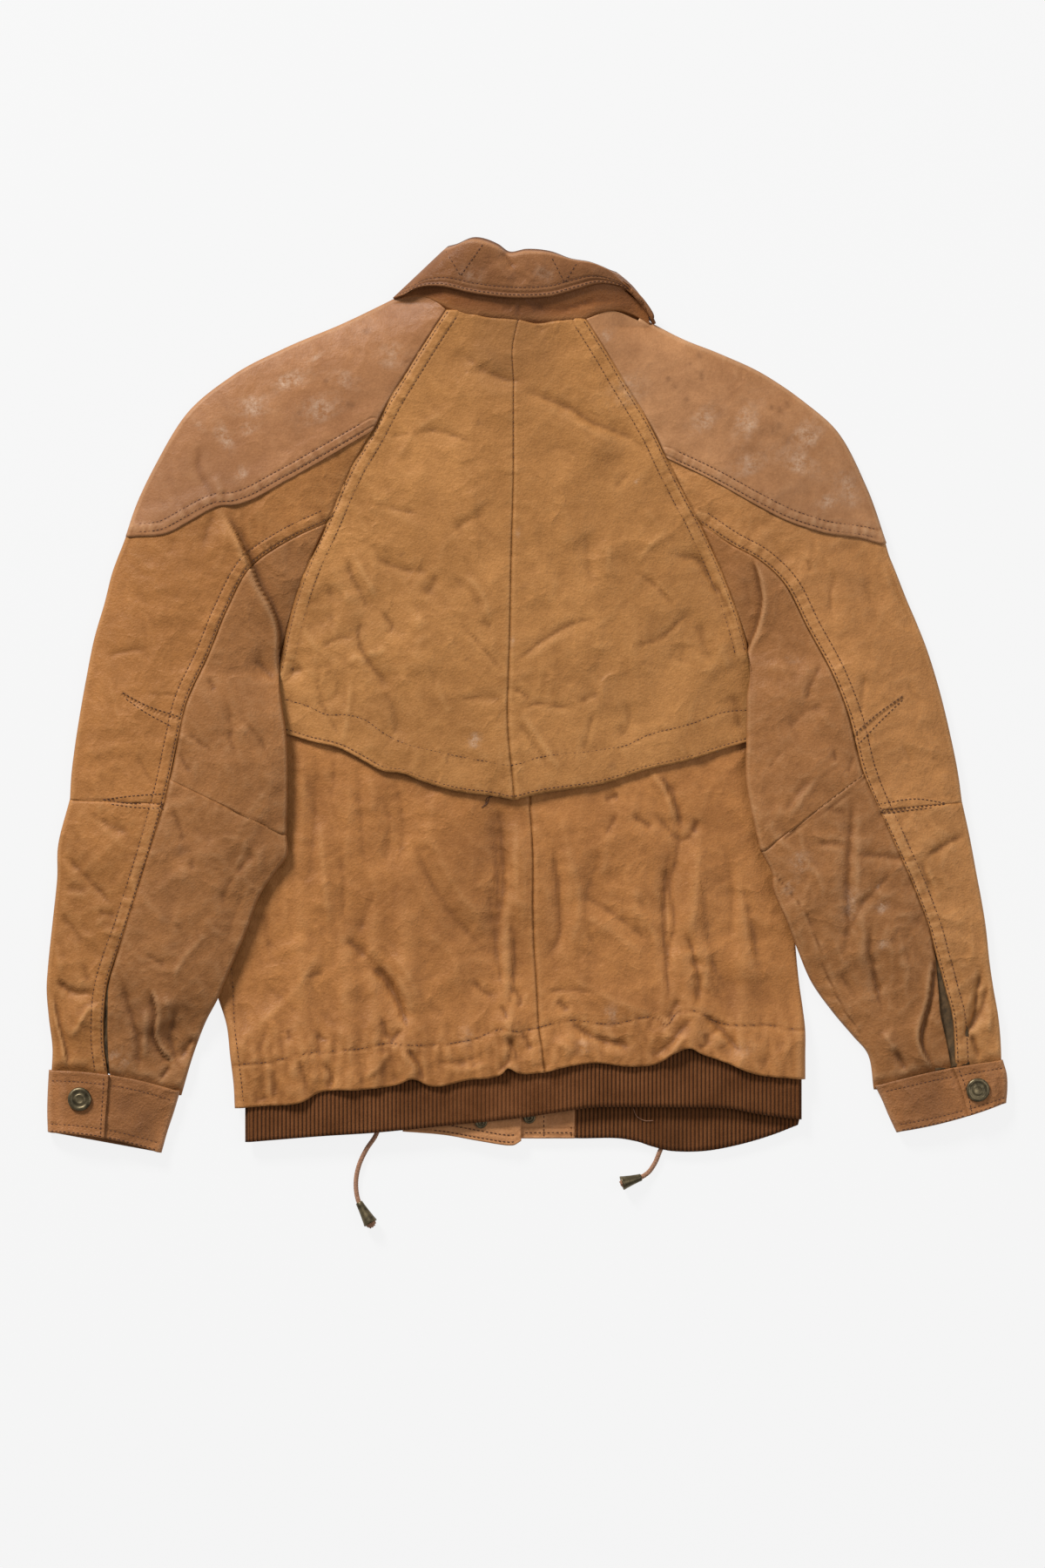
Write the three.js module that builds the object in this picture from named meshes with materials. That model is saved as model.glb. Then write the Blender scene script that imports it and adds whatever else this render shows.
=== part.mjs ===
import * as THREE from "three";

// Driving dimensions, in millimetres
const LEATHER = 1.3;
const DOUBLE_LEATHER = 2.2;
const KNIT = 1.8;
const RIB_PITCH = 3.5;
const RIB_HEIGHT = 0.8;
const SEAM_GAP = 0.5;
const SLEEVE_FOLD = 4;
const UNDERARM_SEAM = 8.5;
const SIDE_TURN = 12;
const PATCH_LIFT = 1.4;
const CUFF_FOLD = 4;
const CUFF_TAB_LIFT = 2.8;
const CUFF_SNAP_RADIUS = 10.2;
const TAB_SNAP_RADIUS = 5.3;
const CORD_RADIUS = 2;
const FRONT_CASING = 4;
const FRONT_HEM_Y = -364;
const ARC_STEPS = 4;

// Raglan seams from the neck to the armpit
const RAGLAN_LEFT = [[-69, 331], [-86, 305], [-104, 276], [-117, 255], [-123, 244], [-126, 238],
  [-128, 234], [-131, 228], [-150, 196], [-171, 149], [-187, 114], [-197, 87], [-206, 53], [-212, 23]];
const RAGLAN_RIGHT = [[51, 323], [68, 296], [85, 267], [98, 246], [105, 234], [110, 225],
  [113.5, 218], [120, 204], [133, 178], [149, 148], [165, 113], [174, 91], [183, 65], [190, 39]];

// Outer edges of the sleeves: shoulder, upper arm, forearm
const SHOULDER_FOLD_LEFT = [[-116, 337], [-156, 321], [-210, 298], [-252, 276], [-292, 243],
  [-318, 201], [-335, 166], [-345, 137]];
const UPPER_FOLD_LEFT = [[-345, 136.4], [-348, 128], [-352, 118], [-357, 104], [-363, 80], [-372, 49],
  [-379, 14], [-385, -20], [-389, -46], [-392, -72], [-393, -90]];
const LOWER_FOLD_LEFT = [[-393, -90.6], [-403, -128], [-404, -158], [-408, -196], [-412, -235],
  [-413, -250], [-411, -278], [-408, -303], [-409, -321]];
const SHOULDER_FOLD_RIGHT = [[109, 317], [134, 307], [169, 293], [205, 276], [240, 252],
  [267, 228], [293, 179], [310, 131]];
const UPPER_FOLD_RIGHT = [[310, 130.4], [312, 121], [316, 111], [320, 101], [327, 83], [336, 62],
  [346, 36], [357, -1], [366, -39], [372, -70], [375, -92.5]];
const LOWER_FOLD_RIGHT = [[375, -93.1], [381, -119], [387, -151], [395, -196], [399, -232],
  [402, -252], [406, -275], [408, -294], [409, -311]];

// Back seams of the sleeves from the raglan to the elbow, then to the cuff slit
const UPPER_SEAM_LEFT = [[-206, 132], [-236, 111], [-257, 74], [-273, 35], [-292, -7], [-299, -37],
  [-306.5, -73], [-311, -94]];
const LOWER_SEAM_LEFT = [[-311, -94.6], [-320.5, -126], [-333, -166], [-342.5, -196], [-354.5, -230],
  [-359.5, -246], [-363, -275], [-363, -301], [-360, -322]];
const UPPER_SEAM_RIGHT = [[177, 129], [199, 117], [220, 98], [242, 57], [263, 18], [277, -18],
  [290, -68], [303.5, -99]];
const LOWER_SEAM_RIGHT = [[303.5, -99.6], [316, -128], [332.5, -165], [346, -201], [354, -230],
  [360, -252], [366, -275], [368, -297], [369, -316]];

// Inner edges of the sleeves below the armpit
const UPPER_INNER_LEFT = [[-210.5, -3], [-206, -38], [-205, -76], [-206, -120]];
const LOWER_INNER_LEFT = [[-206, -120.6], [-205, -136], [-215, -151], [-229, -172], [-241, -204],
  [-257, -241], [-264, -258], [-276, -281], [-286, -307], [-297, -338]];
const UPPER_INNER_RIGHT = [[189, 3], [189, -39], [189, -75], [201, -134]];
const LOWER_INNER_RIGHT = [[201, -134.6], [211, -153], [212, -166], [224, -195], [232.5, -217],
  [246, -248], [264, -273], [281, -293], [293.5, -308], [299, -333]];

// Side folds of the body from the armpit to the hem, and the lower centre seam
const SIDE_LEFT = [[-200, 8], [-213, -31], [-235, -84], [-256, -136], [-269, -181], [-273, -219],
  [-267, -255], [-258, -284], [-255, -310], [-252, -335], [-251, -355]];
const SIDE_RIGHT = [[183, 8], [201, -31], [216, -84], [226, -136], [230, -181], [232, -219],
  [235, -249], [238, -270], [240, -288], [240, -309], [240, -330]];
const LOWER_CENTRE = [[2, 8], [3, -39], [3, -90], [6, -136], [6, -181], [7, -219], [9, -249],
  [10, -268], [11, -286], [14, -305], [16, -324]];

// Centre seam of the cape from the neck to the pointed hem, and the ends of the cape's sides
const CAPE_CENTRE = [[-7, 322.5], [-12, 298], [-11, 270], [-11, 248], [-11, 220], [-11, 190],
  [-12, 149], [-13, 110], [-13.5, 80], [-14, 50], [-15, 20], [-16, -20], [-10, -90]];
const CAPE_SIDE_LEFT = [[-211, -3], [-210, -33]];
const CAPE_SIDE_RIGHT = [[190, 2], [192, -40]];

// Soft folds of the lower back: place across, width and height
const BACK_FOLDS = [[-195, 10, 2.5], [-155, 9, 2.5], [-131, 8, 2], [-104, 10, 3], [-16, 8, 4],
  [122, 10, 3], [143, 14, 5], [186, 10, 2.5]];

const clamp = (value) => Math.min(1, Math.max(0, value));
const mix = (a, b, t) => a + (b - a) * t;
const hump = (t) => 4 * t * (1 - t);
const bell = (x, centre, width) => Math.exp(-(((x - centre) / width) ** 2));

// 0 before the first value, 1 past the second, eased between
function ease(from, to, value) {
  const t = clamp((value - from) / (to - from));
  return t * t * (3 - 2 * t);
}

// A smooth function through rising [input, value] knots, level past both ends
function through(knots) {
  const last = knots.length - 1;
  const slope = knots.map((knot, i) => {
    const before = knots[Math.max(i - 1, 0)];
    const after = knots[Math.min(i + 1, last)];
    return (after[1] - before[1]) / (after[0] - before[0]);
  });
  return (input) => {
    const x = Math.min(Math.max(input, knots[0][0]), knots[last][0]);
    const i = Math.max(1, knots.findIndex((knot) => knot[0] >= x));
    const span = knots[i][0] - knots[i - 1][0];
    const t = (x - knots[i - 1][0]) / span;
    const start = knots[i - 1][1] * (1 + 2 * t) * (1 - t) ** 2 + slope[i - 1] * span * t * (1 - t) ** 2;
    const end = knots[i][1] * t * t * (3 - 2 * t) + slope[i] * span * t * t * (t - 1);
    return start + end;
  };
}

// The x of a line that runs down the jacket, as a function of y
const across = (line) => through(line.map(([x, y]) => [y, x]).reverse());

// A line moved sideways, to the left of its direction when the distance is positive
function beside(line, distance) {
  return line.map((point, i) => {
    const before = line[Math.max(i - 1, 0)];
    const after = line[Math.min(i + 1, line.length - 1)];
    const dx = after[0] - before[0];
    const dy = after[1] - before[1];
    const length = Math.hypot(dx, dy);
    return [point[0] - (dy / length) * distance, point[1] + (dx / length) * distance];
  });
}

// A closed wall under a grid of outer points; facing is the sign of the first normal's z
function wall(grid, thickness, facing = 1) {
  const rows = grid.length;
  const columns = grid[0].length;
  const normals = grid.map((row, i) => row.map((point, j) => {
    const down = grid[Math.min(i + 1, rows - 1)][j].clone().sub(grid[Math.max(i - 1, 0)][j]);
    const along = row[Math.min(j + 1, columns - 1)].clone().sub(row[Math.max(j - 1, 0)]);
    return along.cross(down).normalize();
  }));
  const middle = normals[rows >> 1][0].z;
  const sign = Math.sign(middle) === facing ? 1 : -1;
  const outer = grid.flat();
  const inner = grid.flatMap((row, i) => row.map((point, j) => {
    const depth = typeof thickness === "function" ? thickness(point) : thickness;
    return point.clone().addScaledVector(normals[i][j], -sign * depth);
  }));
  const faces = [];
  const quad = (a, b, c, d) => faces.push(a, b, c, a, c, d);
  const at = (i, j) => i * columns + j;
  const under = rows * columns;
  for (let i = 0; i < rows - 1; i += 1) {
    for (let j = 0; j < columns - 1; j += 1) {
      quad(at(i, j), at(i, j + 1), at(i + 1, j + 1), at(i + 1, j));
      quad(under + at(i, j), under + at(i + 1, j), under + at(i + 1, j + 1), under + at(i, j + 1));
    }
    quad(at(i + 1, 0), under + at(i + 1, 0), under + at(i, 0), at(i, 0));
    quad(at(i, columns - 1), under + at(i, columns - 1), under + at(i + 1, columns - 1), at(i + 1, columns - 1));
  }
  for (let j = 0; j < columns - 1; j += 1) {
    quad(at(0, j), under + at(0, j), under + at(0, j + 1), at(0, j + 1));
    quad(at(rows - 1, j + 1), under + at(rows - 1, j + 1), under + at(rows - 1, j), at(rows - 1, j));
  }
  return solid([...outer, ...inner], sign > 0 ? faces : faces.reverse());
}

function solid(points, faces) {
  const geometry = new THREE.BufferGeometry();
  geometry.setAttribute("position", new THREE.Float32BufferAttribute(points.flatMap((p) => p.toArray()), 3));
  geometry.setIndex(faces);
  geometry.computeVertexNormals();
  return geometry;
}

// Points of a straight row, bowed in y at its middle
function rowPoint(from, to, t, bow = 0) {
  return [mix(from[0], to[0], t), mix(from[1], to[1], t) + bow * hump(t)];
}

// A sheet between two lines, at the heights of a function
function sheet(left, right, columns, height, bows = []) {
  return left.map((from, i) => Array.from({ length: columns + 1 }, (_, j) => {
    const [x, y] = rowPoint(from, right[i], j / columns, bows[i]);
    return new THREE.Vector3(x, y, height(x, y));
  }));
}

// Unit direction away from the seam, square to the fold line
function outward(fold, seam, i) {
  const before = fold[Math.max(i - 1, 0)];
  const after = fold[Math.min(i + 1, fold.length - 1)];
  const square = new THREE.Vector2(-(after[1] - before[1]), after[0] - before[0]).normalize();
  const away = new THREE.Vector2(fold[i][0] - seam[i][0], fold[i][1] - seam[i][1]);
  return square.dot(away) > 0 ? square : square.negate();
}

// Points round a fold from its top to its underside
function foldArc(start, out, radius, top, bottom) {
  return Array.from({ length: ARC_STEPS - 1 }, (_, k) => {
    const angle = Math.PI / 2 - (Math.PI * (k + 1)) / ARC_STEPS;
    const reach = radius * Math.cos(angle);
    const z = (top + bottom) / 2 + ((top - bottom) / 2) * Math.sin(angle);
    return new THREE.Vector3(start[0] + out.x * reach, start[1] + out.y * reach, z);
  });
}

// Rows from the seam on top, out round the fold, and back underneath on the floor
function foldedGrid({ fold, seam, radius, columns, underColumns, top, turn, bows = [] }) {
  return fold.map((edge, i) => {
    const out = outward(fold, seam, i);
    const r = typeof radius === "function" ? radius(edge[1]) : radius;
    const start = [edge[0] - out.x * r, edge[1] - out.y * r];
    const end = turn ? [edge[0] - out.x * turn, edge[1] - out.y * turn] : seam[i];
    const upper = Array.from({ length: columns + 1 }, (_, j) => {
      const [x, y] = rowPoint(seam[i], start, j / columns, bows[i]);
      return new THREE.Vector3(x, y, top(x, y));
    });
    const lower = Array.from({ length: underColumns + 1 }, (_, j) => {
      const [x, y] = rowPoint(start, end, j / underColumns, turn ? 0 : bows[i]);
      return new THREE.Vector3(x, y, 0);
    });
    return [...upper, ...foldArc(start, out, r, top(...start), 0), ...lower];
  });
}

const jacket = new THREE.Group();
jacket.name = "leather_jacket";

function add(name, geometry, colour) {
  const mesh = new THREE.Mesh(geometry, new THREE.MeshStandardMaterial({ color: colour }));
  mesh.name = name;
  jacket.add(mesh);
}

const TAN = "#a97c48";
const SHOULDER_TAN = "#a5754f";
const RIB_BROWN = "#4a2a1c";
const BRASS = "#8a7a55";
const DARK = "#3a3424";

// Heights of the cape, from its raglan seams to its centre
const capeSideHeight = through([[-40, 8.2], [0, 8.2], [21, 8.6], [53, 9.5], [114, 12], [149, 14],
  [239, 19], [331, 23]]);
const capeMiddleHeight = through([[-90, 19.2], [40, 20.5], [149, 22.5], [239, 24], [322, 25]]);
const capeLeftX = across([...RAGLAN_LEFT, ...CAPE_SIDE_LEFT]);
const capeRightX = across([...RAGLAN_RIGHT, ...CAPE_SIDE_RIGHT]);
const capeCentreX = across(CAPE_CENTRE);

function capeTop(x, y) {
  const side = x < capeCentreX(y) ? capeLeftX(y) : capeRightX(y);
  const share = clamp((x - side) / (capeCentreX(y) - side));
  return mix(capeSideHeight(y), capeMiddleHeight(y), Math.sin((share * Math.PI) / 2));
}

// Heights of the lower back, from its side folds to its centre, with its folds and gathers
const sideFold = through([[-355, 7.2], [-300, 7], [-262, 3.4], [-240, 2.9], [-136, 2.6], [8, 2.2]]);
const lowerMiddleHeight = through([[-355, 18.5], [-300, 18.5], [-240, 15.5], [-90, 14.5], [8, 14]]);
const sideLeftX = across(SIDE_LEFT);
const sideRightX = across(SIDE_RIGHT);
const lowerCentreX = across(LOWER_CENTRE);

function lowerTop(x, y) {
  const side = x < lowerCentreX(y) ? sideLeftX(y) : sideRightX(y);
  const share = clamp((x - side) / (lowerCentreX(y) - side));
  const edge = 2 * sideFold(y);
  const dome = mix(edge, lowerMiddleHeight(y), Math.sin((share * Math.PI) / 2));
  const depth = ease(-120, -230, y) * ease(0, 0.15, share);
  return dome + depth * BACK_FOLDS.reduce((sum, [at, width, height]) => sum + height * bell(x, at, width), 0);
}

// How far the drawstring has pulled the hem up, across the back
const hemLift = (x) => 15 * bell(x, 142, 26) + 4 * bell(x, -18, 10);

// Heights of the sleeves, and of their undersides where they lie over the body
const sleeveLoft = through([[-339, 3], [-240, 8], [-90, 11], [60, 12], [200, 9], [300, 4], [341, 1]]);

function sleeveTop(outerLine, innerLine, innerKnots) {
  const outerX = across(outerLine);
  const innerX = across(innerLine);
  const innerHeight = through(innerKnots);
  return (x, y) => {
    const share = clamp((x - outerX(y)) / (innerX(y) - outerX(y)));
    const level = mix(2 * SLEEVE_FOLD, innerHeight(y), share ** 1.5);
    return level + sleeveLoft(y) * hump(share) ** 0.8;
  };
}

function sleeveUnder(innerLine, baseKnots, overlapKnots) {
  const innerX = across(innerLine);
  const base = through(baseKnots);
  const overlap = through(overlapKnots);
  return (x, y) => {
    const inside = Math.abs(x - innerX(y));
    return Math.max(0, base(y)) * (1 - ease(overlap(y), overlap(y) + 18, inside));
  };
}

// One side's sleeve: shoulder patch, outer and inner panels, and the front that folds round the underarm
function sleeve(side, raglan, lines, heights) {
  const mirrored = side === "left" ? 1 : -1;
  const innerLine = [...raglan, ...lines.upperInner, ...lines.lowerInner];
  const outerLine = [...lines.shoulderFold, ...lines.upperFold, ...lines.lowerFold];
  const top = sleeveTop(outerLine, innerLine, heights.inner);
  const under = sleeveUnder(innerLine, heights.base, heights.overlap);
  const patchEdge = raglan.slice(0, 8);
  const corner = raglan[9];
  const patchBows = [heights.neckBow, 0, 0, 0, -1, -3, -6, heights.patchBow];
  const patchTop = (x, y) => {
    const last = patchEdge.length - 1;
    const [x0, y0] = patchEdge[last];
    const [x1, y1] = lines.shoulderFold[last];
    const along = clamp((x - x0) / (x1 - x0));
    const lap = mix(y0, y1, along) + heights.patchBow * hump(along);
    return top(x, y) + PATCH_LIFT * (1 - ease(8, 26, y - lap));
  };
  const shoulder = { fold: lines.shoulderFold, seam: patchEdge, radius: SLEEVE_FOLD };
  add(`shoulder_patch_${side}`, wall(foldedGrid({ ...shoulder, columns: 6, underColumns: 4,
    top: patchTop, bows: patchBows }), LEATHER), SHOULDER_TAN);

  const lap = [raglan[7][0] - mirrored * 0.3, raglan[7][1] - 0.6];
  const upperSeam = [lap, raglan[8], corner, ...lines.upperSeam];
  add(`sleeve_outer_upper_${side}`, wall(foldedGrid({ fold: lines.upperFold, seam: upperSeam,
    radius: SLEEVE_FOLD, columns: 6, underColumns: 4, top,
    bows: [heights.patchBow, -6, -3] }), LEATHER), TAN);
  add(`sleeve_outer_lower_${side}`, wall(foldedGrid({ fold: lines.lowerFold, seam: lines.lowerSeam,
    radius: SLEEVE_FOLD, columns: 5, underColumns: 4, top }), LEATHER), TAN);

  const innerSeam = beside([corner, ...lines.upperSeam], mirrored * SEAM_GAP);
  const inset = (line) => line.map(([x, y]) => [x - mirrored * UNDERARM_SEAM, y]);
  const raglanPart = raglan.slice(10, 14);
  const nearCorner = [mix(innerSeam[0][0], innerSeam[1][0], 0.06), mix(innerSeam[0][1], innerSeam[1][1], 0.06)];
  const byCorner = [mix(corner[0], raglan[10][0], 0.06), mix(corner[1], raglan[10][1], 0.06)];
  const upperLeft = [nearCorner, ...innerSeam.slice(1, 8)];
  const elbow = lines.elbow;
  upperLeft.splice(7, 0, elbow);
  const upperRight = [byCorner, ...raglanPart, ...inset(lines.upperInner)];
  add(`sleeve_inner_upper_${side}`, wall(sheet(upperLeft, upperRight, 5, top), LEATHER), TAN);

  const lowerLeft = [[upperLeft[8][0], upperLeft[8][1] - 0.6], ...lines.lowerInnerSeam];
  const lowerRight = inset(lines.lowerInner);
  add(`sleeve_inner_lower_${side}`, wall(sheet(lowerLeft, lowerRight, 5, top), LEATHER), TAN);

  const frontSeam = [...upperLeft, ...beside(lines.lowerSeam, mirrored * SEAM_GAP)];
  const frontInner = [byCorner, ...raglanPart, ...lines.upperInner, ...lines.lowerInner.slice(1)];
  add(`sleeve_front_${side}`, wall(underGrid(frontSeam, frontInner, 5, top, under, mirrored), LEATHER, -1), TAN);
  return top;
}

// The underside of a sleeve; below the armpit its rows go round the inner fold to the underarm seam
function underGrid(seam, inner, raglanRows, top, under, mirrored) {
  const flat = 6;
  const turned = ARC_STEPS + 1;
  return seam.map((from, i) => {
    const to = inner[i];
    if (i < raglanRows) {
      return Array.from({ length: flat + turned + 1 }, (_, j) => {
        const [x, y] = rowPoint(from, to, j / (flat + turned));
        return new THREE.Vector3(x, y, 0);
      });
    }
    const out = new THREE.Vector2(mirrored, 0);
    const start = [to[0] - out.x * SLEEVE_FOLD, to[1]];
    const lower = Array.from({ length: flat + 1 }, (_, j) => {
      const [x, y] = rowPoint(from, start, j / flat);
      return new THREE.Vector3(x, y, under(x, y));
    });
    const endX = to[0] - mirrored * (UNDERARM_SEAM - SEAM_GAP);
    const upper = [start, [endX, to[1]]].map(([x, y]) => new THREE.Vector3(x, y, top(x, y)));
    const arc = foldArc(start, out, SLEEVE_FOLD, top(...start), under(...start)).reverse();
    return [...lower, ...arc, ...upper];
  });
}

const leftTop = sleeve("left", RAGLAN_LEFT, {
  shoulderFold: SHOULDER_FOLD_LEFT,
  upperFold: UPPER_FOLD_LEFT,
  lowerFold: LOWER_FOLD_LEFT,
  upperSeam: UPPER_SEAM_LEFT,
  lowerSeam: LOWER_SEAM_LEFT,
  elbow: [-302.5, -56],
  lowerInnerSeam: [[-310.5, -94], [-320, -126], [-332.5, -166], [-342, -196], [-354, -230],
    [-358.5, -246], [-360, -275], [-360, -301], [-358, -323.5]],
  upperInner: UPPER_INNER_LEFT,
  lowerInner: LOWER_INNER_LEFT,
}, {
  neckBow: 8.5,
  patchBow: -9.6,
  inner: [[-339, 8.5], [-290, 9], [-272, 12], [-258, 16], [-219, 16.8], [-181, 17.2], [-136, 18.5],
    [-39, 18.5], [-10, 18], [10, 14], [23, 9.5], [53, 9.8], [114, 12], [149, 14], [239, 19], [331, 23]],
  base: [[-295, 0], [-272, 4], [-258, 8], [-219, 8.8], [-181, 9.2], [-136, 10], [-39, 10.3],
    [-10, 9.6], [8, 6], [23, 0]],
  overlap: [[-270, 4], [-255, 8], [-219, 30], [-181, 41], [-136, 55], [-84, 34], [-31, 11], [10, 6]],
});

const rightTop = sleeve("right", RAGLAN_RIGHT, {
  shoulderFold: SHOULDER_FOLD_RIGHT,
  upperFold: UPPER_FOLD_RIGHT,
  lowerFold: LOWER_FOLD_RIGHT,
  upperSeam: UPPER_SEAM_RIGHT,
  lowerSeam: LOWER_SEAM_RIGHT,
  elbow: [283.3, -45],
  lowerInnerSeam: [[303, -99], [315.5, -128], [332, -165], [345.5, -201], [352, -230],
    [354, -252], [356, -275], [361, -297], [366, -318]],
  upperInner: UPPER_INNER_RIGHT,
  lowerInner: LOWER_INNER_RIGHT,
}, {
  neckBow: 10,
  patchBow: -11,
  inner: [[-333, 8.5], [-250, 9], [-235, 11.5], [-215, 14.5], [-181, 16.5], [-136, 18], [-39, 18.5],
    [0, 17.5], [20, 14], [39, 9.5], [65, 10], [113, 12], [149, 14], [239, 19], [323, 23]],
  base: [[-255, 0], [-235, 3], [-215, 6.2], [-181, 8.2], [-136, 9.2], [-39, 10.3], [0, 9.4], [20, 6], [39, 0]],
  overlap: [[-240, 4], [-219, 5], [-181, 18], [-136, 29], [-84, 31], [-31, 17], [10, 6]],
});

// The cape: two halves sewn at the centre, open at the hem
const capeRows = (raglan) => [...raglan.slice(0, 4), ...raglan.slice(7)];
const capeLeftEdge = [...beside(capeRows(RAGLAN_LEFT), SEAM_GAP), ...CAPE_SIDE_LEFT];
const capeRightEdge = [...beside(capeRows(RAGLAN_RIGHT), -SEAM_GAP), ...CAPE_SIDE_RIGHT];
const capeBows = [-1, 0, 0, 0, 0, 0, 0, 0, 0, 0, 0, 0, -5];
add("cape_left", wall(sheet(capeLeftEdge, CAPE_CENTRE, 9, capeTop, capeBows), LEATHER), TAN);
add("cape_right", wall(sheet(beside(CAPE_CENTRE, SEAM_GAP), capeRightEdge, 8, capeTop, capeBows), LEATHER), TAN);

// The lower back: two halves sewn at the centre, folded round the sides, gathered at the hem
function lowerBack(side, centre) {
  const grid = foldedGrid({ fold: side, seam: centre, radius: sideFold, columns: 18, underColumns: 1,
    top: lowerTop, turn: SIDE_TURN });
  grid.forEach((row) => row.slice(0, 19).forEach((point) => {
    point.y += hemLift(point.x) * ease(-235, -300, point.y);
  }));
  return wall(grid, LEATHER);
}
add("lower_back_left", lowerBack(SIDE_LEFT, LOWER_CENTRE), TAN);
add("lower_back_right", lowerBack(SIDE_RIGHT, beside(LOWER_CENTRE, SEAM_GAP)), TAN);

// The fronts: flat on the floor, with a thicker turned hem that holds the cord
function frontPanel(raglan, side, mirrored, middle) {
  const sideEdge = beside(side, mirrored * (SIDE_TURN + 0.6));
  const hem = sideEdge[sideEdge.length - 1][0];
  const lower = sideEdge.filter(([, y]) => y > -320);
  const edge = [...beside(capeRows(raglan).slice(0, 10), mirrored * SEAM_GAP),
    [raglan[12][0] + mirrored * 1.5, raglan[12][1] - 16], ...lower, [hem, -332], [hem, -338], [hem, FRONT_HEM_Y]];
  const centre = edge.map(([, y], i) => [middle, i === 0 ? 270 : Math.min(y, 268 - 12 * i)]);
  centre.splice(-3, 3, [middle, -332], [middle, -338], [middle, FRONT_HEM_Y]);
  const casing = (point) => mix(FRONT_CASING, LEATHER, ease(-337, -333, point.y));
  return wall(sheet(edge, centre, 4, () => 0), casing, -1);
}
add("front_left", frontPanel(RAGLAN_LEFT, SIDE_LEFT, 1, -2), TAN);
add("front_right", frontPanel(RAGLAN_RIGHT, SIDE_RIGHT, -1, -1.4), TAN);

// The collar: a stand from the neck seam and a leaf rolled over it and round to the front
const neckHeight = through([[-112, 8.5], [-90, 15], [-69, 22.5], [-7, 25], [51, 22.5], [80, 15], [100, 8.5]]);
const STAND_LOW = [[-105, 341.7], [-84, 341], [-73, 336], [-62, 330.6], [-36, 326.2], [-7, 323.1], [10, 322.3],
  [24, 322.3], [42, 323], [50, 323.8], [60, 328], [80, 330.6], [95, 325.6]];
const STAND_HIGH = [[-92, 356], [-74, 367], [-65, 372], [-56, 376], [-36, 379], [-14, 372], [4, 374], [22, 372],
  [40, 366], [49, 364], [58, 362], [74, 355], [90, 341]];
add("collar_stand", wall(STAND_LOW.map((low, i) => [0, 0.5, 1].map((t) => {
  const [x, y] = rowPoint(low, STAND_HIGH[i], t);
  return new THREE.Vector3(x, y, neckHeight(low[0]) + 3.5 * t);
})), LEATHER), TAN);

const LEAF_FOLD = [[-4, 326], [-22, 346], [-42, 367], [-58, 381], [-67, 389], [-58, 388], [-45, 393],
  [-24, 387], [-15, 381], [0, 383], [21, 381], [38, 375], [55, 372], [71, 366], [80, 366], [68, 359], [46, 349],
  [22, 340], [0, 326]];
const LEAF_EDGE = [[-4, 273], [-30, 299], [-62, 338], [-100, 347], [-115, 342], [-106, 344], [-94, 349.5],
  [-76, 350.5], [-48, 344.5], [-2, 340], [24, 342], [42, 347], [66, 353], [91, 346], [111, 324], [97, 334],
  [56, 335], [30, 306], [0, 273]];
const LEAF_FOLD_HEIGHT = [0, 0, 0, 0, 12, 28, 34, 35, 33.5, 34, 34, 33, 31, 25, 10, 0, 0, 0, 0];
const LEAF_EDGE_HEIGHT = [0, 0, 0, 0, 8, 17, 23, 28, 30.5, 31.5, 31, 29.5, 26, 18, 7, 0, 0, 0, 0];
add("collar_leaf", wall(LEAF_FOLD.map((fold, i) => [0, 0.33, 0.66, 1].map((t) => {
  const [x, y] = rowPoint(fold, LEAF_EDGE[i], t);
  return new THREE.Vector3(x, y, mix(LEAF_FOLD_HEIGHT[i], LEAF_EDGE_HEIGHT[i], t));
})), DOUBLE_LEATHER), TAN);

// Cuffs: a band wound round the wrist, its tab end lying over the other end
function cuffGrid(outer, inner, bows, tabEnd, underEnd) {
  const height = (u) => 2 * CUFF_FOLD + 1 + 3 * hump(u) ** 0.8;
  return outer.map((from, i) => {
    const to = inner[i];
    const out = new THREE.Vector2(from[0] - to[0], from[1] - to[1]).normalize();
    const width = Math.hypot(from[0] - to[0], from[1] - to[1]);
    const rim = CUFF_FOLD / width;
    const place = (u, z) => new THREE.Vector3(...rowPoint(from, to, u, bows[i]), z);
    const row = [];
    for (let k = 0; k <= 5; k += 1) {
      const u = mix(tabEnd[i], rim, k / 5);
      row.push(place(u, height(u) + CUFF_TAB_LIFT * ease(rim, 0.14, u)));
    }
    const near = rowPoint(from, to, rim, bows[i]);
    row.push(...foldArc(near, out, CUFF_FOLD, height(rim), 0));
    for (let k = 0; k <= 4; k += 1) {
      row.push(place(mix(rim, 1 - rim, k / 4), 0));
    }
    const far = rowPoint(from, to, 1 - rim, bows[i]);
    row.push(...foldArc(far, out.clone().negate(), CUFF_FOLD, height(1 - rim), 0).reverse());
    for (let k = 0; k <= 5; k += 1) {
      const u = mix(1 - rim, underEnd, k / 5);
      row.push(place(u, height(u)));
    }
    return row;
  });
}
const CUFF_LEFT_OUTER = [[-411, -322.6], [-412, -340], [-412.5, -358], [-412, -376]];
const CUFF_LEFT_INNER = [[-298, -341], [-303, -358], [-309, -376], [-314, -394]];
add("cuff_left", wall(cuffGrid(CUFF_LEFT_OUTER, CUFF_LEFT_INNER, [5, 5, 4.5, 4], [0.46, 0.475, 0.49, 0.5], 0.37),
  DOUBLE_LEATHER), TAN);
const CUFF_RIGHT_OUTER = [[410, -313.6], [413.5, -326], [414, -338], [413, -350]];
const CUFF_RIGHT_INNER = [[300, -336.2], [306, -348], [312, -362], [318.5, -375.5]];
add("cuff_right", wall(cuffGrid(CUFF_RIGHT_OUTER, CUFF_RIGHT_INNER, [2.5, 0.5, -1.5, -3], [0.39, 0.38, 0.365, 0.35], 0.27),
  DOUBLE_LEATHER), TAN);

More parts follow.
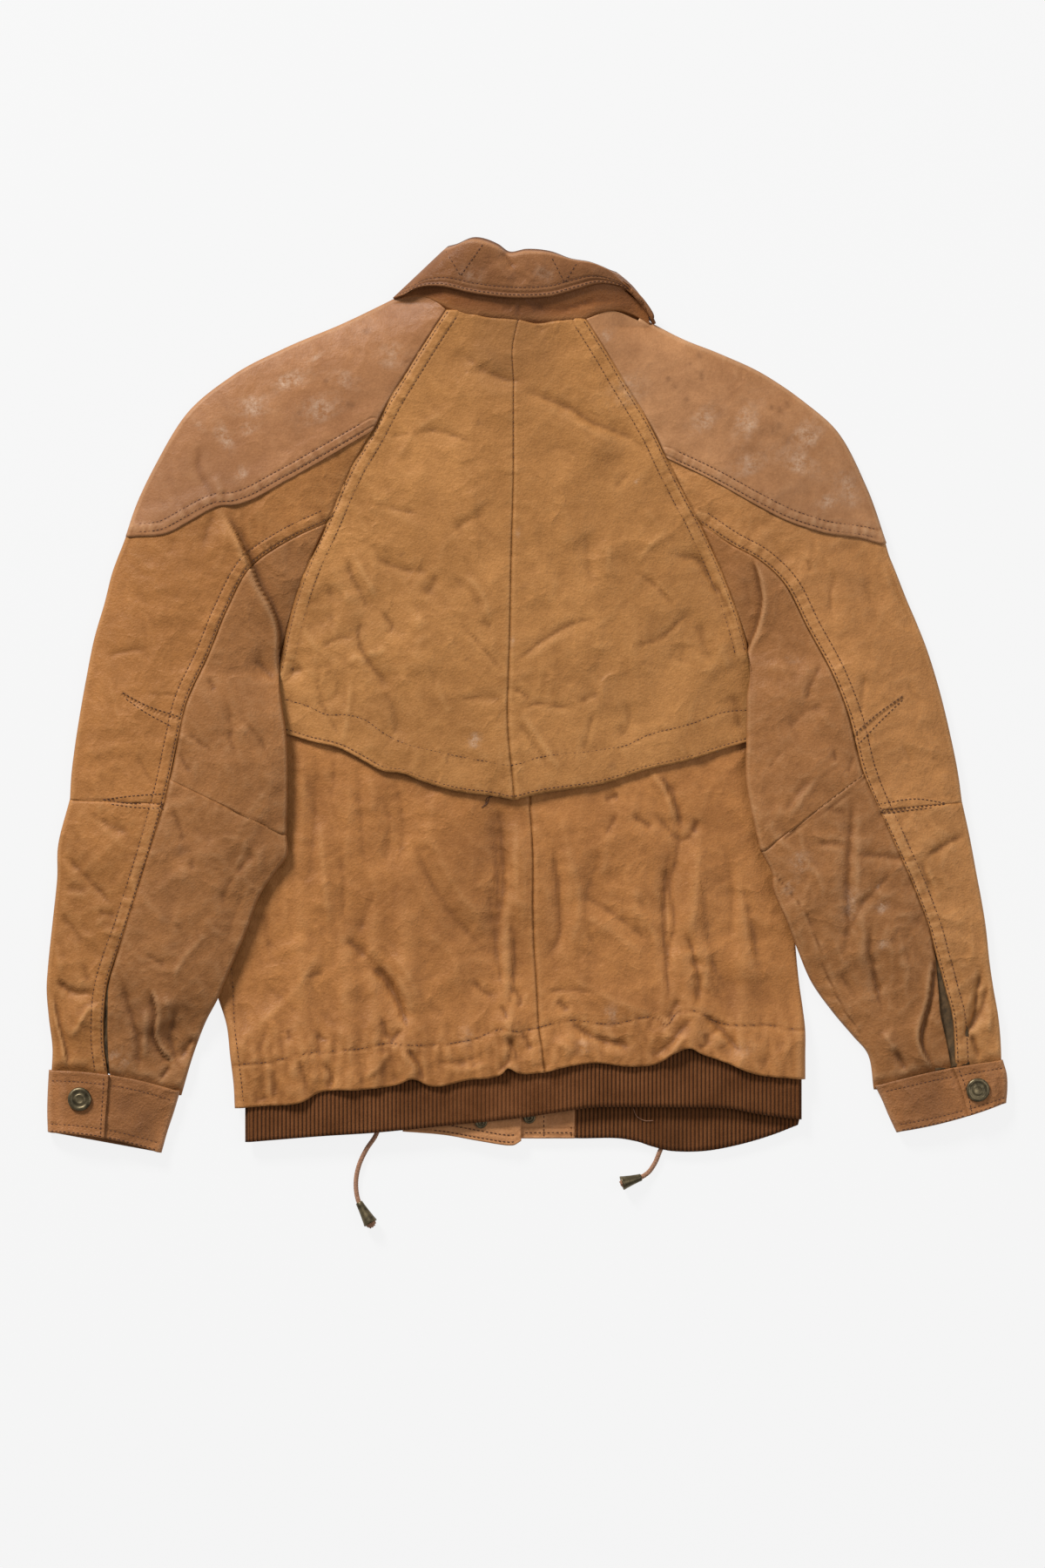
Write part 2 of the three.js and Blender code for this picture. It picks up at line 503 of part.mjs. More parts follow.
// Snap caps: a domed ring with a sunk middle
function snap(radius, height, place, sides, tilt = 0) {
  const profile = [[0, 0], [0.95, 0], [1, 0.3], [0.96, 0.75], [0.75, 1], [0.62, 0.8], [0.35, 0.86], [0, 0.9]];
  const geometry = new THREE.LatheGeometry(profile.map(([r, z]) => new THREE.Vector2(r * radius, z * height)), sides);
  geometry.rotateX(Math.PI / 2);
  geometry.rotateY(tilt);
  return geometry.translate(...place);
}
add("snap_cuff_left", snap(CUFF_SNAP_RADIUS, 2.8, [-384, -347, 14.9], 18, -0.05), BRASS);
add("snap_cuff_right", snap(CUFF_SNAP_RADIUS, 2.8, [388, -339, 14.7], 18, 0.1), BRASS);

// Linings behind the cuff slits, laid against the inside of the sleeve
function slitLining(left, right, top) {
  return wall(sheet(left, right, 3, (x, y) => top(x, y) - LEATHER - 0.6), LEATHER);
}
add("slit_lining_left", slitLining([[-370, -250], [-374, -270], [-374, -295], [-372, -316]],
  [[-350, -250], [-350, -270], [-350, -295], [-350, -316]], leftTop), DARK);
add("slit_lining_right", slitLining([[346, -246], [346, -266], [348, -286], [354, -308]],
  [[366, -246], [374, -266], [378, -286], [379, -306]], rightTop), DARK);

// The knit band at the hem: under the casing, round both sides to the front tabs
const ribLow = through([[-238, -384], [-177, -379], [-131, -376], [-71, -370], [-4, -363], [36, -357],
  [60, -354], [116, -354], [172, -355], [200, -360], [237, -365]]);
const ribHigh = through([[-238, -338], [-131, -326], [0, -307], [36, -304], [116, -300], [172, -303], [237, -313]]);
const ribHeight = through([[-242, 11], [-150, 13], [0, 14], [150, 13], [237, 11]]);
const frontLow = through([[-238, -382], [-150, -374], [-107, -374], [42, -381], [78, -381], [96, -384],
  [108, -388], [125, -392], [153, -392], [181, -387], [209, -379], [235, -369]]);
const frontHigh = through([[-238, -342], [-107, -336], [42, -334], [235, -318]]);
const RIB_FRONT_LEVEL = 4.5;
const RIB_LEFT = -242;
const RIB_RIGHT = 236.8;
const RIB_FOLD = 3;
const RIB_FRONT_LEFT = -107;
const RIB_FRONT_RIGHT = 42;

function ribBand() {
  const columns = [];
  const push = (x, low, high, z) => columns.push([high, low].map((y) => new THREE.Vector3(x, y, z)));
  const front = (from, to) => {
    for (let k = 0; k <= 14; k += 1) {
      const x = mix(from, to, k / 14);
      push(x, frontLow(x), frontHigh(x), RIB_FRONT_LEVEL);
    }
  };
  const fold = (x, side, rising) => {
    const middle = (ribHeight(x) + RIB_FRONT_LEVEL) / 2;
    const half = (ribHeight(x) - RIB_FRONT_LEVEL) / 2;
    for (let k = 1; k < 6; k += 1) {
      const angle = rising * (Math.PI * (k / 6) - Math.PI / 2);
      push(x + side * RIB_FOLD * Math.cos(angle), ribLow(x), ribHigh(x), middle + half * Math.sin(angle));
    }
  };
  const left = RIB_LEFT + RIB_FOLD;
  const right = RIB_RIGHT - RIB_FOLD;
  front(RIB_FRONT_LEFT - 0.5, left);
  fold(left, -1, 1);
  const halfRibs = Math.round((2 * (right - left)) / RIB_PITCH);
  for (let k = 0; k <= halfRibs; k += 1) {
    const x = mix(left, right, k / halfRibs);
    push(x, ribLow(x), ribHigh(x), ribHeight(x) + (k % 2) * RIB_HEIGHT);
  }
  fold(right, 1, -1);
  front(right, RIB_FRONT_RIGHT + 0.5);
  return columns;
}
add("rib_band", wall(ribBand(), KNIT), RIB_BROWN);

// Leather ends of the knit band at the front opening, with their snaps
const tabLow = through([[-106.5, -375], [-71, -378], [-36, -384], [-12, -387], [-4.5, -383]]);
const tabLevel = (x) => RIB_FRONT_LEVEL + KNIT - LEATHER + 1.9 * ease(-80, -30, x);
add("tab_left", wall([-106.5, -88, -71, -54, -36, -20, -12, -4.5].map((x) => [-336, -355, tabLow(x)].map((y) =>
  new THREE.Vector3(x, y, tabLevel(x) + LEATHER))), LEATHER), TAN);
add("tab_right", wall([-20, -4, 12, 27, 41.5].map((x) => [-336, -355, -381].map((y) =>
  new THREE.Vector3(x, y, RIB_FRONT_LEVEL + LEATHER + 0.3))), LEATHER), TAN);
add("snap_tab_left", snap(TAB_SNAP_RADIUS, 2, [-39, -367, tabLevel(-33) + LEATHER + 0.35], 12), BRASS);
add("snap_tab_right", snap(TAB_SNAP_RADIUS, 2, [2.5, -363, RIB_FRONT_LEVEL + LEATHER + 0.6], 12), BRASS);

// Cords from the front hem, with bell-shaped metal ends
function cord(path) {
  const sides = 8;
  const steps = 14;
  const curve = new THREE.CatmullRomCurve3(path.map((p) => new THREE.Vector3(...p)));
  const tube = new THREE.TubeGeometry(curve, steps, CORD_RADIUS, sides);
  const points = [];
  const position = tube.getAttribute("position");
  for (let i = 0; i <= steps; i += 1) {
    for (let j = 0; j < sides; j += 1) {
      points.push(new THREE.Vector3().fromBufferAttribute(position, i * (sides + 1) + j));
    }
  }
  points.push(curve.getPoint(0), curve.getPoint(1));
  const faces = [];
  for (let j = 0; j < sides; j += 1) {
    const next = (j + 1) % sides;
    for (let i = 0; i < steps; i += 1) {
      const a = i * sides;
      const b = a + sides;
      faces.push(a + j, b + j, b + next, a + j, b + next, a + next);
    }
    faces.push(points.length - 2, j, next, points.length - 1, steps * sides + next, steps * sides + j);
  }
  return solid(points, faces);
}

function bellEnd(from, to) {
  const axis = new THREE.Vector3(...to).sub(new THREE.Vector3(...from));
  const profile = [[0, 0], [2.6, 0], [3, 0.12], [3.1, 0.4], [4.2, 0.75], [6, 0.96], [5.6, 1], [0, 1]];
  const geometry = new THREE.LatheGeometry(profile.map(([r, t]) => new THREE.Vector2(r, t * axis.length())), 16);
  const turn = new THREE.Quaternion().setFromUnitVectors(new THREE.Vector3(0, 1, 0), axis.clone().normalize());
  return geometry.applyQuaternion(turn).translate(...from);
}
add("cord_left", cord([[-125.3, -365, 2.1], [-129.5, -378, 2.1], [-138, -391, 2.1], [-144, -404, 2.1],
  [-146.6, -416, 2.3], [-144.6, -435, 4.2]]), RIB_BROWN);
add("cord_end_left", bellEnd([-144.2, -436, 4.6], [-134, -454, 6.4]), BRASS);
add("cord_right", cord([[121, -365, 2.1], [120, -380, 2.1], [115, -392, 2.1], [110, -403.5, 2.1],
  [104.8, -410.5, 2.8], [100, -413.8, 4.2]]), RIB_BROWN);
add("cord_end_right", bellEnd([98.9, -414.4, 4.7], [82, -419.6, 6.3]), BRASS);

// The part's frame: the middle of the sewn pieces, at the floor
const sewn = new THREE.Box3();
jacket.children.filter((mesh) => !mesh.name.startsWith("cord")).forEach((mesh) => sewn.expandByObject(mesh));
const middle = sewn.getCenter(new THREE.Vector3());
jacket.children.forEach((mesh) => mesh.geometry.translate(-middle.x, -middle.y, 0));

export default jacket;
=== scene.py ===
import math

import bpy
import numpy as np
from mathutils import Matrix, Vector


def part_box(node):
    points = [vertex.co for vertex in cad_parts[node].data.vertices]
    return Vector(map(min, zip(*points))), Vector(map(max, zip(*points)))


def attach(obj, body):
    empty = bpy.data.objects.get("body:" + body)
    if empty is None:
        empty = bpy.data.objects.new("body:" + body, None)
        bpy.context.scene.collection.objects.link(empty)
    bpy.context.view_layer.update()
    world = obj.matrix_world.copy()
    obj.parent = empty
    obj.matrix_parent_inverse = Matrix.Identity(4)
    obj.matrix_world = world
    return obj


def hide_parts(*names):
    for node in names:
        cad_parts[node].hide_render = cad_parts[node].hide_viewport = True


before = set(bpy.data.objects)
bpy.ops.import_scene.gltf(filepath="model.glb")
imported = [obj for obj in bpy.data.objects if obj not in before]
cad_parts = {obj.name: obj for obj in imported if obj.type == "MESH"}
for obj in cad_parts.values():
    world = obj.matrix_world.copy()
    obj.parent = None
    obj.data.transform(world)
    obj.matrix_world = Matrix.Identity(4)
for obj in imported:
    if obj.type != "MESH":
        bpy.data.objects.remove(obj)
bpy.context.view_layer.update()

# Sizes in millimetres
GRAIN = 2.45
LEATHER = 1.3
DOUBLE_LEATHER = 2.2
KNIT = 1.8
RIB_PITCH = 3.5
RIB_HEIGHT = 1.1
SLEEVE_FOLD = 4
SIDE_TURN = 12
PATCH_LIFT = 1.4
SEAM_HALF_GAP = 0.1
SEAM_LAP = 0.8
NECK_TUCK = 11
CUFF_TUCK = 6
CUFF_DRAW_IN = 3
CUFF_FOLD = 4
CUFF_TAB_LIFT = 2.8
CORD_RADIUS = 2
STITCH_PITCH = 3.7
STITCH_LENGTH = 2.6
STITCH_WIDTH = 0.85
STRIP_NEAR = 2.2
STRIP_FAR = 11
METRES = 0.001

# The photo's scale and the pixel at the jacket's middle
PIXEL = 0.75
PHOTO_MIDDLE = np.array((604.5, 798.5))
VIEW_HEIGHT = 1800 * PIXEL

# The part's frame, found from a corner of the right tab
TAB_RIGHT_CORNER = np.array((-20.0, -381.0))
tab_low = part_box("tab_right")[0]
FRAME_SHIFT = np.array((tab_low.x, tab_low.y)) / METRES - TAB_RIGHT_CORNER

# Raglan seams from the neck to the armpit
RAGLAN_LEFT = [(-69, 331), (-86, 305), (-104, 276), (-117, 255), (-123, 244), (-126, 238), (-128, 234),
               (-131, 228), (-150, 196), (-171, 149), (-187, 114), (-197, 87), (-206, 53), (-212, 23)]
RAGLAN_RIGHT = [(51, 323), (68, 296), (85, 267), (98, 246), (105, 234), (110, 225), (113.5, 218),
                (120, 204), (133, 178), (149, 148), (165, 113), (174, 91), (183, 65), (190, 39)]

# Outer edges of the sleeves: shoulder, upper arm, forearm
SHOULDER_FOLD_LEFT = [(-116, 337), (-156, 321), (-210, 298), (-252, 276), (-292, 243), (-318, 201),
                      (-335, 166), (-345, 137)]
UPPER_FOLD_LEFT = [(-345, 136.4), (-348, 128), (-352, 118), (-357, 104), (-363, 80), (-372, 49), (-379, 14),
                   (-385, -20), (-389, -46), (-392, -72), (-393, -90)]
LOWER_FOLD_LEFT = [(-393, -90.6), (-403, -128), (-404, -158), (-408, -196), (-412, -235), (-413, -250),
                   (-411, -278), (-408, -303), (-409, -321)]
SHOULDER_FOLD_RIGHT = [(109, 317), (134, 307), (169, 293), (205, 276), (240, 252), (267, 228), (293, 179),
                       (310, 131)]
UPPER_FOLD_RIGHT = [(310, 130.4), (312, 121), (316, 111), (320, 101), (327, 83), (336, 62), (346, 36),
                    (357, -1), (366, -39), (372, -70), (375, -92.5)]
LOWER_FOLD_RIGHT = [(375, -93.1), (381, -119), (387, -151), (395, -196), (399, -232), (402, -252),
                    (406, -275), (408, -294), (409, -311)]

# Back seams of the sleeves, and the inner panels' side of the cuff slits
UPPER_SEAM_LEFT = [(-206, 132), (-236, 111), (-257, 74), (-273, 35), (-292, -7), (-299, -37), (-306.5, -73),
                   (-311, -94)]
LOWER_SEAM_LEFT = [(-311, -94.6), (-320.5, -126), (-333, -166), (-342.5, -196), (-354.5, -230),
                   (-359.5, -246), (-363, -275), (-363, -301), (-360, -322)]
SLIT_LEFT = [(-310.5, -94), (-320, -126), (-332.5, -166), (-342, -196), (-354, -230), (-358.5, -246),
             (-360, -275), (-360, -301), (-358, -323.5)]
UPPER_SEAM_RIGHT = [(177, 129), (199, 117), (220, 98), (242, 57), (263, 18), (277, -18), (290, -68),
                    (303.5, -99)]
LOWER_SEAM_RIGHT = [(303.5, -99.6), (316, -128), (332.5, -165), (346, -201), (354, -230), (360, -252),
                    (366, -275), (368, -297), (369, -316)]
SLIT_RIGHT = [(303, -99), (315.5, -128), (332, -165), (345.5, -201), (352, -230), (354, -252), (356, -275),
              (361, -297), (366, -318)]

# Inner edges of the sleeves below the armpit
UPPER_INNER_LEFT = [(-210.5, -3), (-206, -38), (-205, -76), (-206, -120)]
LOWER_INNER_LEFT = [(-206, -120.6), (-205, -136), (-215, -151), (-229, -172), (-241, -204), (-257, -241),
                    (-264, -258), (-276, -281), (-286, -307), (-297, -338)]
UPPER_INNER_RIGHT = [(189, 3), (189, -39), (189, -75), (201, -134)]
LOWER_INNER_RIGHT = [(201, -134.6), (211, -153), (212, -166), (224, -195), (232.5, -217), (246, -248),
                     (264, -273), (281, -293), (293.5, -308), (299, -333)]

# The body: side folds, centre seams and the sides of the cape
SIDE_LEFT = [(-200, 8), (-213, -31), (-235, -84), (-256, -136), (-269, -181), (-273, -219), (-267, -255),
             (-258, -284), (-255, -310), (-252, -335), (-251, -355)]
SIDE_RIGHT = [(183, 8), (201, -31), (216, -84), (226, -136), (230, -181), (232, -219), (235, -249),
              (238, -270), (240, -288), (240, -309), (240, -330)]
LOWER_CENTRE = [(2, 8), (3, -39), (3, -90), (6, -136), (6, -181), (7, -219), (9, -249), (10, -268),
                (11, -286), (14, -305), (16, -324)]
CAPE_CENTRE = [(-7, 322.5), (-12, 298), (-11, 270), (-11, 248), (-11, 220), (-11, 190), (-12, 149),
               (-13, 110), (-13.5, 80), (-14, 50), (-15, 20), (-16, -20), (-10, -90)]
CAPE_SIDE_LEFT = [(-214, -3), (-215, -31)]
CAPE_SIDE_RIGHT = [(194, 2), (197, -38)]
BACK_FOLDS = [(-195, 10, 2.5), (-155, 9, 2.5), (-131, 8, 2), (-104, 10, 3), (-16, 8, 4), (122, 10, 3),
              (143, 14, 5), (186, 10, 2.5)]

# Edges read from the photo, in its pixels
CAPE_HEM_LEFT = [(317, 839), (330, 842), (357, 850), (392, 859), (415, 871), (442, 885), (461, 887),
                 (484, 896), (530, 909), (564, 913), (591, 918)]
CAPE_HEM_RIGHT = [(591, 918), (610, 913), (698, 898), (744, 883), (790, 873), (824, 862), (857, 852),
                  (868, 849)]
CAPE_ROW = [(328, 803), (357, 812), (373, 820), (401, 821), (422, 828), (438, 840), (456, 850), (507, 864),
            (552, 873), (591, 878), (613, 871), (689, 861), (721, 855), (739, 846), (790, 832), (835, 817),
            (858, 815)]
NECK_LEFT = [(512, 357), (530, 358), (556, 365), (595, 368)]
NECK_RIGHT = [(595, 368), (618, 373), (637, 370), (660, 367), (672, 368)]
PATCH_EDGE_LEFT = [(430, 494), (364, 532), (328, 552), (266, 580), (249, 581), (241, 584), (213, 599),
                   (190, 611), (144, 616)]
PATCH_EDGE_RIGHT = [(763, 527), (816, 552), (867, 580), (901, 597), (951, 613), (993, 619), (1017, 625)]
HEM_LEFT = [(622, 1231), (592, 1232), (579, 1226), (573, 1232), (533, 1240), (493, 1247), (469, 1239),
            (460, 1243), (415, 1251), (362, 1256), (351, 1263), (297, 1270), (279, 1272)]
HEM_RIGHT = [(626, 1231), (659, 1223), (684, 1220), (722, 1224), (754, 1221), (775, 1209), (794, 1203),
             (806, 1209), (834, 1219), (863, 1231), (916, 1238)]
CASING_ROW = [(268, 1221), (297, 1220), (356, 1208), (415, 1203), (446, 1197), (467, 1199), (510, 1198),
              (545, 1192), (578, 1181), (587, 1183), (618, 1179), (645, 1171), (699, 1175), (759, 1172),
              (764, 1177), (776, 1163), (799, 1160), (821, 1172), (883, 1177), (922, 1182)]


def clamp(value):
    return np.clip(value, 0.0, 1.0)


def mix(a, b, t):
    return a + (b - a) * t


def hump(t):
    return 4 * t * (1 - t)


def bell(x, centre, width):
    return np.exp(-(((x - centre) / width) ** 2))


def ease(start, end, value):
    """0 before the first value, 1 past the second, eased between."""
    t = clamp((value - start) / (end - start))
    return t * t * (3 - 2 * t)


def hermite(knots, values, slopes, at):
    """A cubic through values at rising knots; values may be numbers or points."""
    i = np.clip(np.searchsorted(knots, at), 1, len(knots) - 1)
    span = knots[i] - knots[i - 1]
    t = (at - knots[i - 1]) / span
    if values.ndim > 1:
        span = span[:, None]
        t = t[:, None]
    start = values[i - 1] * (1 + 2 * t) * (1 - t) ** 2 + slopes[i - 1] * span * t * (1 - t) ** 2
    return start + values[i] * t * t * (3 - 2 * t) + slopes[i] * span * t * t * (t - 1)


def through(knots):
    """A smooth function through [input, value] knots, level past both ends."""
    points = np.array(sorted(knots), float)
    x, y = points.T
    rise = np.concatenate([y[1:2] - y[:1], y[2:] - y[:-2], y[-1:] - y[-2:-1]])
    run = np.concatenate([x[1:2] - x[:1], x[2:] - x[:-2], x[-1:] - x[-2:-1]])
    return lambda at: hermite(x, y, rise / run, np.clip(at, x[0], x[-1]))


def across(line):
    """The x of a line that runs down the jacket, as a function of y."""
    return through([(y, x) for x, y in line])


def photo(points):
    """Pixels of the photo as millimetres on the jacket."""
    p = (np.array(points, float) - PHOTO_MIDDLE) * PIXEL
    return p * (1, -1)


def lengths(points):
    return np.concatenate([[0.0], np.cumsum(np.linalg.norm(np.diff(points, axis=0), axis=1))])


def spline(points, count):
    """Evenly spaced points on a smooth curve through the given ones."""
    p = np.asarray(points, float)
    s = lengths(p)
    slopes = np.gradient(p, s, axis=0)
    return hermite(s, p, slopes, np.linspace(0, s[-1], count))


def smooth(points, step=4.0):
    """A curve through the points with a point about every few millimetres."""
    p = np.asarray(points, float)
    return spline(p, max(2, int(lengths(p)[-1] / step) + 1))


def beside(line, distance):
    """A line moved sideways, to the left of its direction when the distance is positive."""
    p = np.asarray(line, float)
    along = np.gradient(p, axis=0)
    along /= np.linalg.norm(along, axis=1)[:, None]
    return p + distance * np.stack([-along[:, 1], along[:, 0]], axis=1)


def rails(left, right, rows):
    """Two lines with matching points, as smooth rails with the same number of rows."""
    l, r = np.asarray(left, float), np.asarray(right, float)
    s = (lengths(l) + lengths(r)) / 2
    at = np.linspace(0, s[-1], rows)
    return [hermite(s, line, np.gradient(line, s, axis=0), at) for line in (l, r)]


def edge(points, count, start, end):
    """A smooth edge that begins and ends exactly on the two rails."""
    line = spline(points, count)
    t = np.linspace(0, 1, count)[:, None]
    return line + (1 - t) * (start - line[0]) + t * (end - line[-1])


def net(left, right, top=None, bottom=None, grain=GRAIN):
    """A grid of points between two rails, its first and last rows on the given edges."""
    widest = np.linalg.norm(right - left, axis=1).max()
    columns = max(6, int(widest / grain))
    u = np.linspace(0, 1, columns + 1)[None, :, None]
    v = np.linspace(0, 1, len(left))[:, None, None]
    grid = (1 - u) * left[:, None] + u * right[:, None]
    for points, row, weight in ((top, 0, 1 - v), (bottom, -1, v)):
        if points is not None:
            curve = edge(points, columns + 1, left[row], right[row])
            straight = mix(left[row], right[row], u[0])
            grid = grid + weight * (curve - straight)[None]
    return grid


def noise(x, y, size, seed):
    """Smooth noise from about -1 to 1 with features of a size in millimetres."""
    turns = np.random.default_rng(seed).uniform(0, 2 * np.pi, (64, 64))
    gx, gy = np.asarray(x) / size + 500, np.asarray(y) / size + 500
    i, j = np.floor(gx).astype(int), np.floor(gy).astype(int)
    fx, fy = gx - i, gy - j
    wx, wy = (f * f * f * (f * (f * 6 - 15) + 10) for f in (fx, fy))

    def corner(a, b):
        angle = turns[(i + a) % 64, (j + b) % 64]
        return np.cos(angle) * (fx - a) + np.sin(angle) * (fy - b)

    low = mix(corner(0, 0), corner(1, 0), wx)
    high = mix(corner(0, 1), corner(1, 1), wx)
    return 1.5 * mix(low, high, wy)


def crumple(x, y, seed):
    """Irregular soft creases: sharp lines between rounded facets, at three sizes."""
    wx = x + 9 * noise(x, y, 45, seed + 1)
    wy = y + 9 * noise(x, y, 45, seed + 2)
    total = 0.55 * noise(wx, wy, 70, seed + 3)
    for size, height in ((46, 1.1), (24, 0.65), (12, 0.3), (6, 0.12)):
        total = total + height * (0.35 - np.abs(noise(wx, wy, size, seed + size)))
        total = total - height * 0.6 * (0.35 - np.abs(noise(wy, wx, size * 1.2, seed + size + 5)))
    return total


def nearest(line, x, y, reach):
    """Which points lie within reach of a line, how far along it, and how far to its left."""
    low, high = line.min(0) - reach, line.max(0) + reach
    inside = np.flatnonzero((x > low[0]) & (x < high[0]) & (y > low[1]) & (y < high[1]))
    px, py = x[inside], y[inside]
    best = np.full(len(inside), np.inf)
    along = np.zeros(len(inside))
    signed = np.zeros(len(inside))
    starts = lengths(line)
    for a, b, start in zip(line[:-1], line[1:], starts):
        dx, dy = b - a
        size = math.hypot(dx, dy)
        t = np.clip(((px - a[0]) * dx + (py - a[1]) * dy) / size ** 2, 0, 1)
        ox, oy = px - a[0] - t * dx, py - a[1] - t * dy
        gap = np.hypot(ox, oy)
        closer = gap < best
        best[closer] = gap[closer]
        along[closer] = start + t[closer] * size
        side = np.sign(dx * oy - dy * ox)
        signed[closer] = (side * gap)[closer]
    close = best < reach
    return inside[close], along[close], signed[close], starts[-1]


def flat_call(function):
    """Lets a function of flat x and y arrays take arrays of any shape."""
    def shaped(x, y, *rest, **named):
        x, y = np.broadcast_arrays(np.asarray(x, float), np.asarray(y, float))
        return function(x.ravel(), y.ravel(), *rest, **named).reshape(x.shape)
    return shaped


@flat_call
def creases(x, y, strokes, uneven=0.6):
    """Heights of creases: each is (pixels, height, width); a wide one is soft, a narrow one sharp."""
    total = np.zeros_like(x)
    for points, height, width in strokes:
        line = smooth(photo(points))
        at, along, off, size = nearest(line, x, y, 5 * width + 2)
        share = along / size
        taper = ease(0, 0.3, share) * ease(1, 0.7, share)
        off = off + uneven * noise(x[at], y[at], 9, 17)
        taper = taper * (1 + 0.5 * uneven * noise(along, 0 * along + height, 11, 18))
        total[at] += height * taper * np.exp(-(np.hypot(off, 1.1) - 1.1) / (1.2 * width))
    return total


@flat_call
def folds(x, y, strokes):
    """Heights of laps: the left of each line stands up over its right."""
    total = np.zeros_like(x)
    for points, height, width in strokes:
        line = smooth(photo(points))
        at, along, off, size = nearest(line, x, y, 4 * width)
        share = along / size
        taper = ease(0, 0.2, share) * ease(1, 0.8, share)
        total[at] += height * taper * off / np.hypot(off, 1.1) * np.exp(-np.abs(off) / width)
    return total


@flat_call
def groove(x, y, line, depth=1.1, width=0.9):
    """The sunk line of a plain seam."""
    total = np.zeros_like(x)
    at, _, off, _ = nearest(line, x, y, 5 * width)
    total[at] = -depth * np.exp(-(off / width) ** 2)
    return total


@flat_call
def strip(x, y, line, side, near, far, rise=0.75, pucker=0.4, seed=1):
    """A turned and twice stitched strip beside a seam, puckered across between its rows."""
    total = np.zeros_like(x)
    at, along, off, _ = nearest(line, x, y, far + 6)
    d = side * off
    middle, half = (near + far) / 2, (far - near) / 2
    band = 1 / (1 + np.abs((d - middle) / (half + 0.4)) ** 6)
    wave = noise(along, d * 0.15, 4.6, seed) + 0.7 * noise(along, d * 0.1, 8.5, seed + 9)
    total[at] = band * (rise + pucker * wave)
    for row in (near, far):
        total[at] -= 0.55 * np.exp(-((d - row) / 0.9) ** 2)
        total[at] += pucker * 0.5 * wave * np.exp(-((d - row) / 4.5) ** 2)
    return total


@flat_call
def row_dent(x, y, line, depth=0.4, width=1.0, pucker=0.35, reach=6.0, seed=1):
    """The dent of one row of stitches with the small puckers on both its sides."""
    total = np.zeros_like(x)
    at, along, off, _ = nearest(line, x, y, 3 * reach)
    wave = noise(along, off * 0.08, 5.5, seed) + 0.6 * noise(along, off * 0.06, 11, seed + 4)
    total[at] = pucker * wave * np.exp(-(off / reach) ** 2) - depth * np.exp(-(off / width) ** 2)
    return total


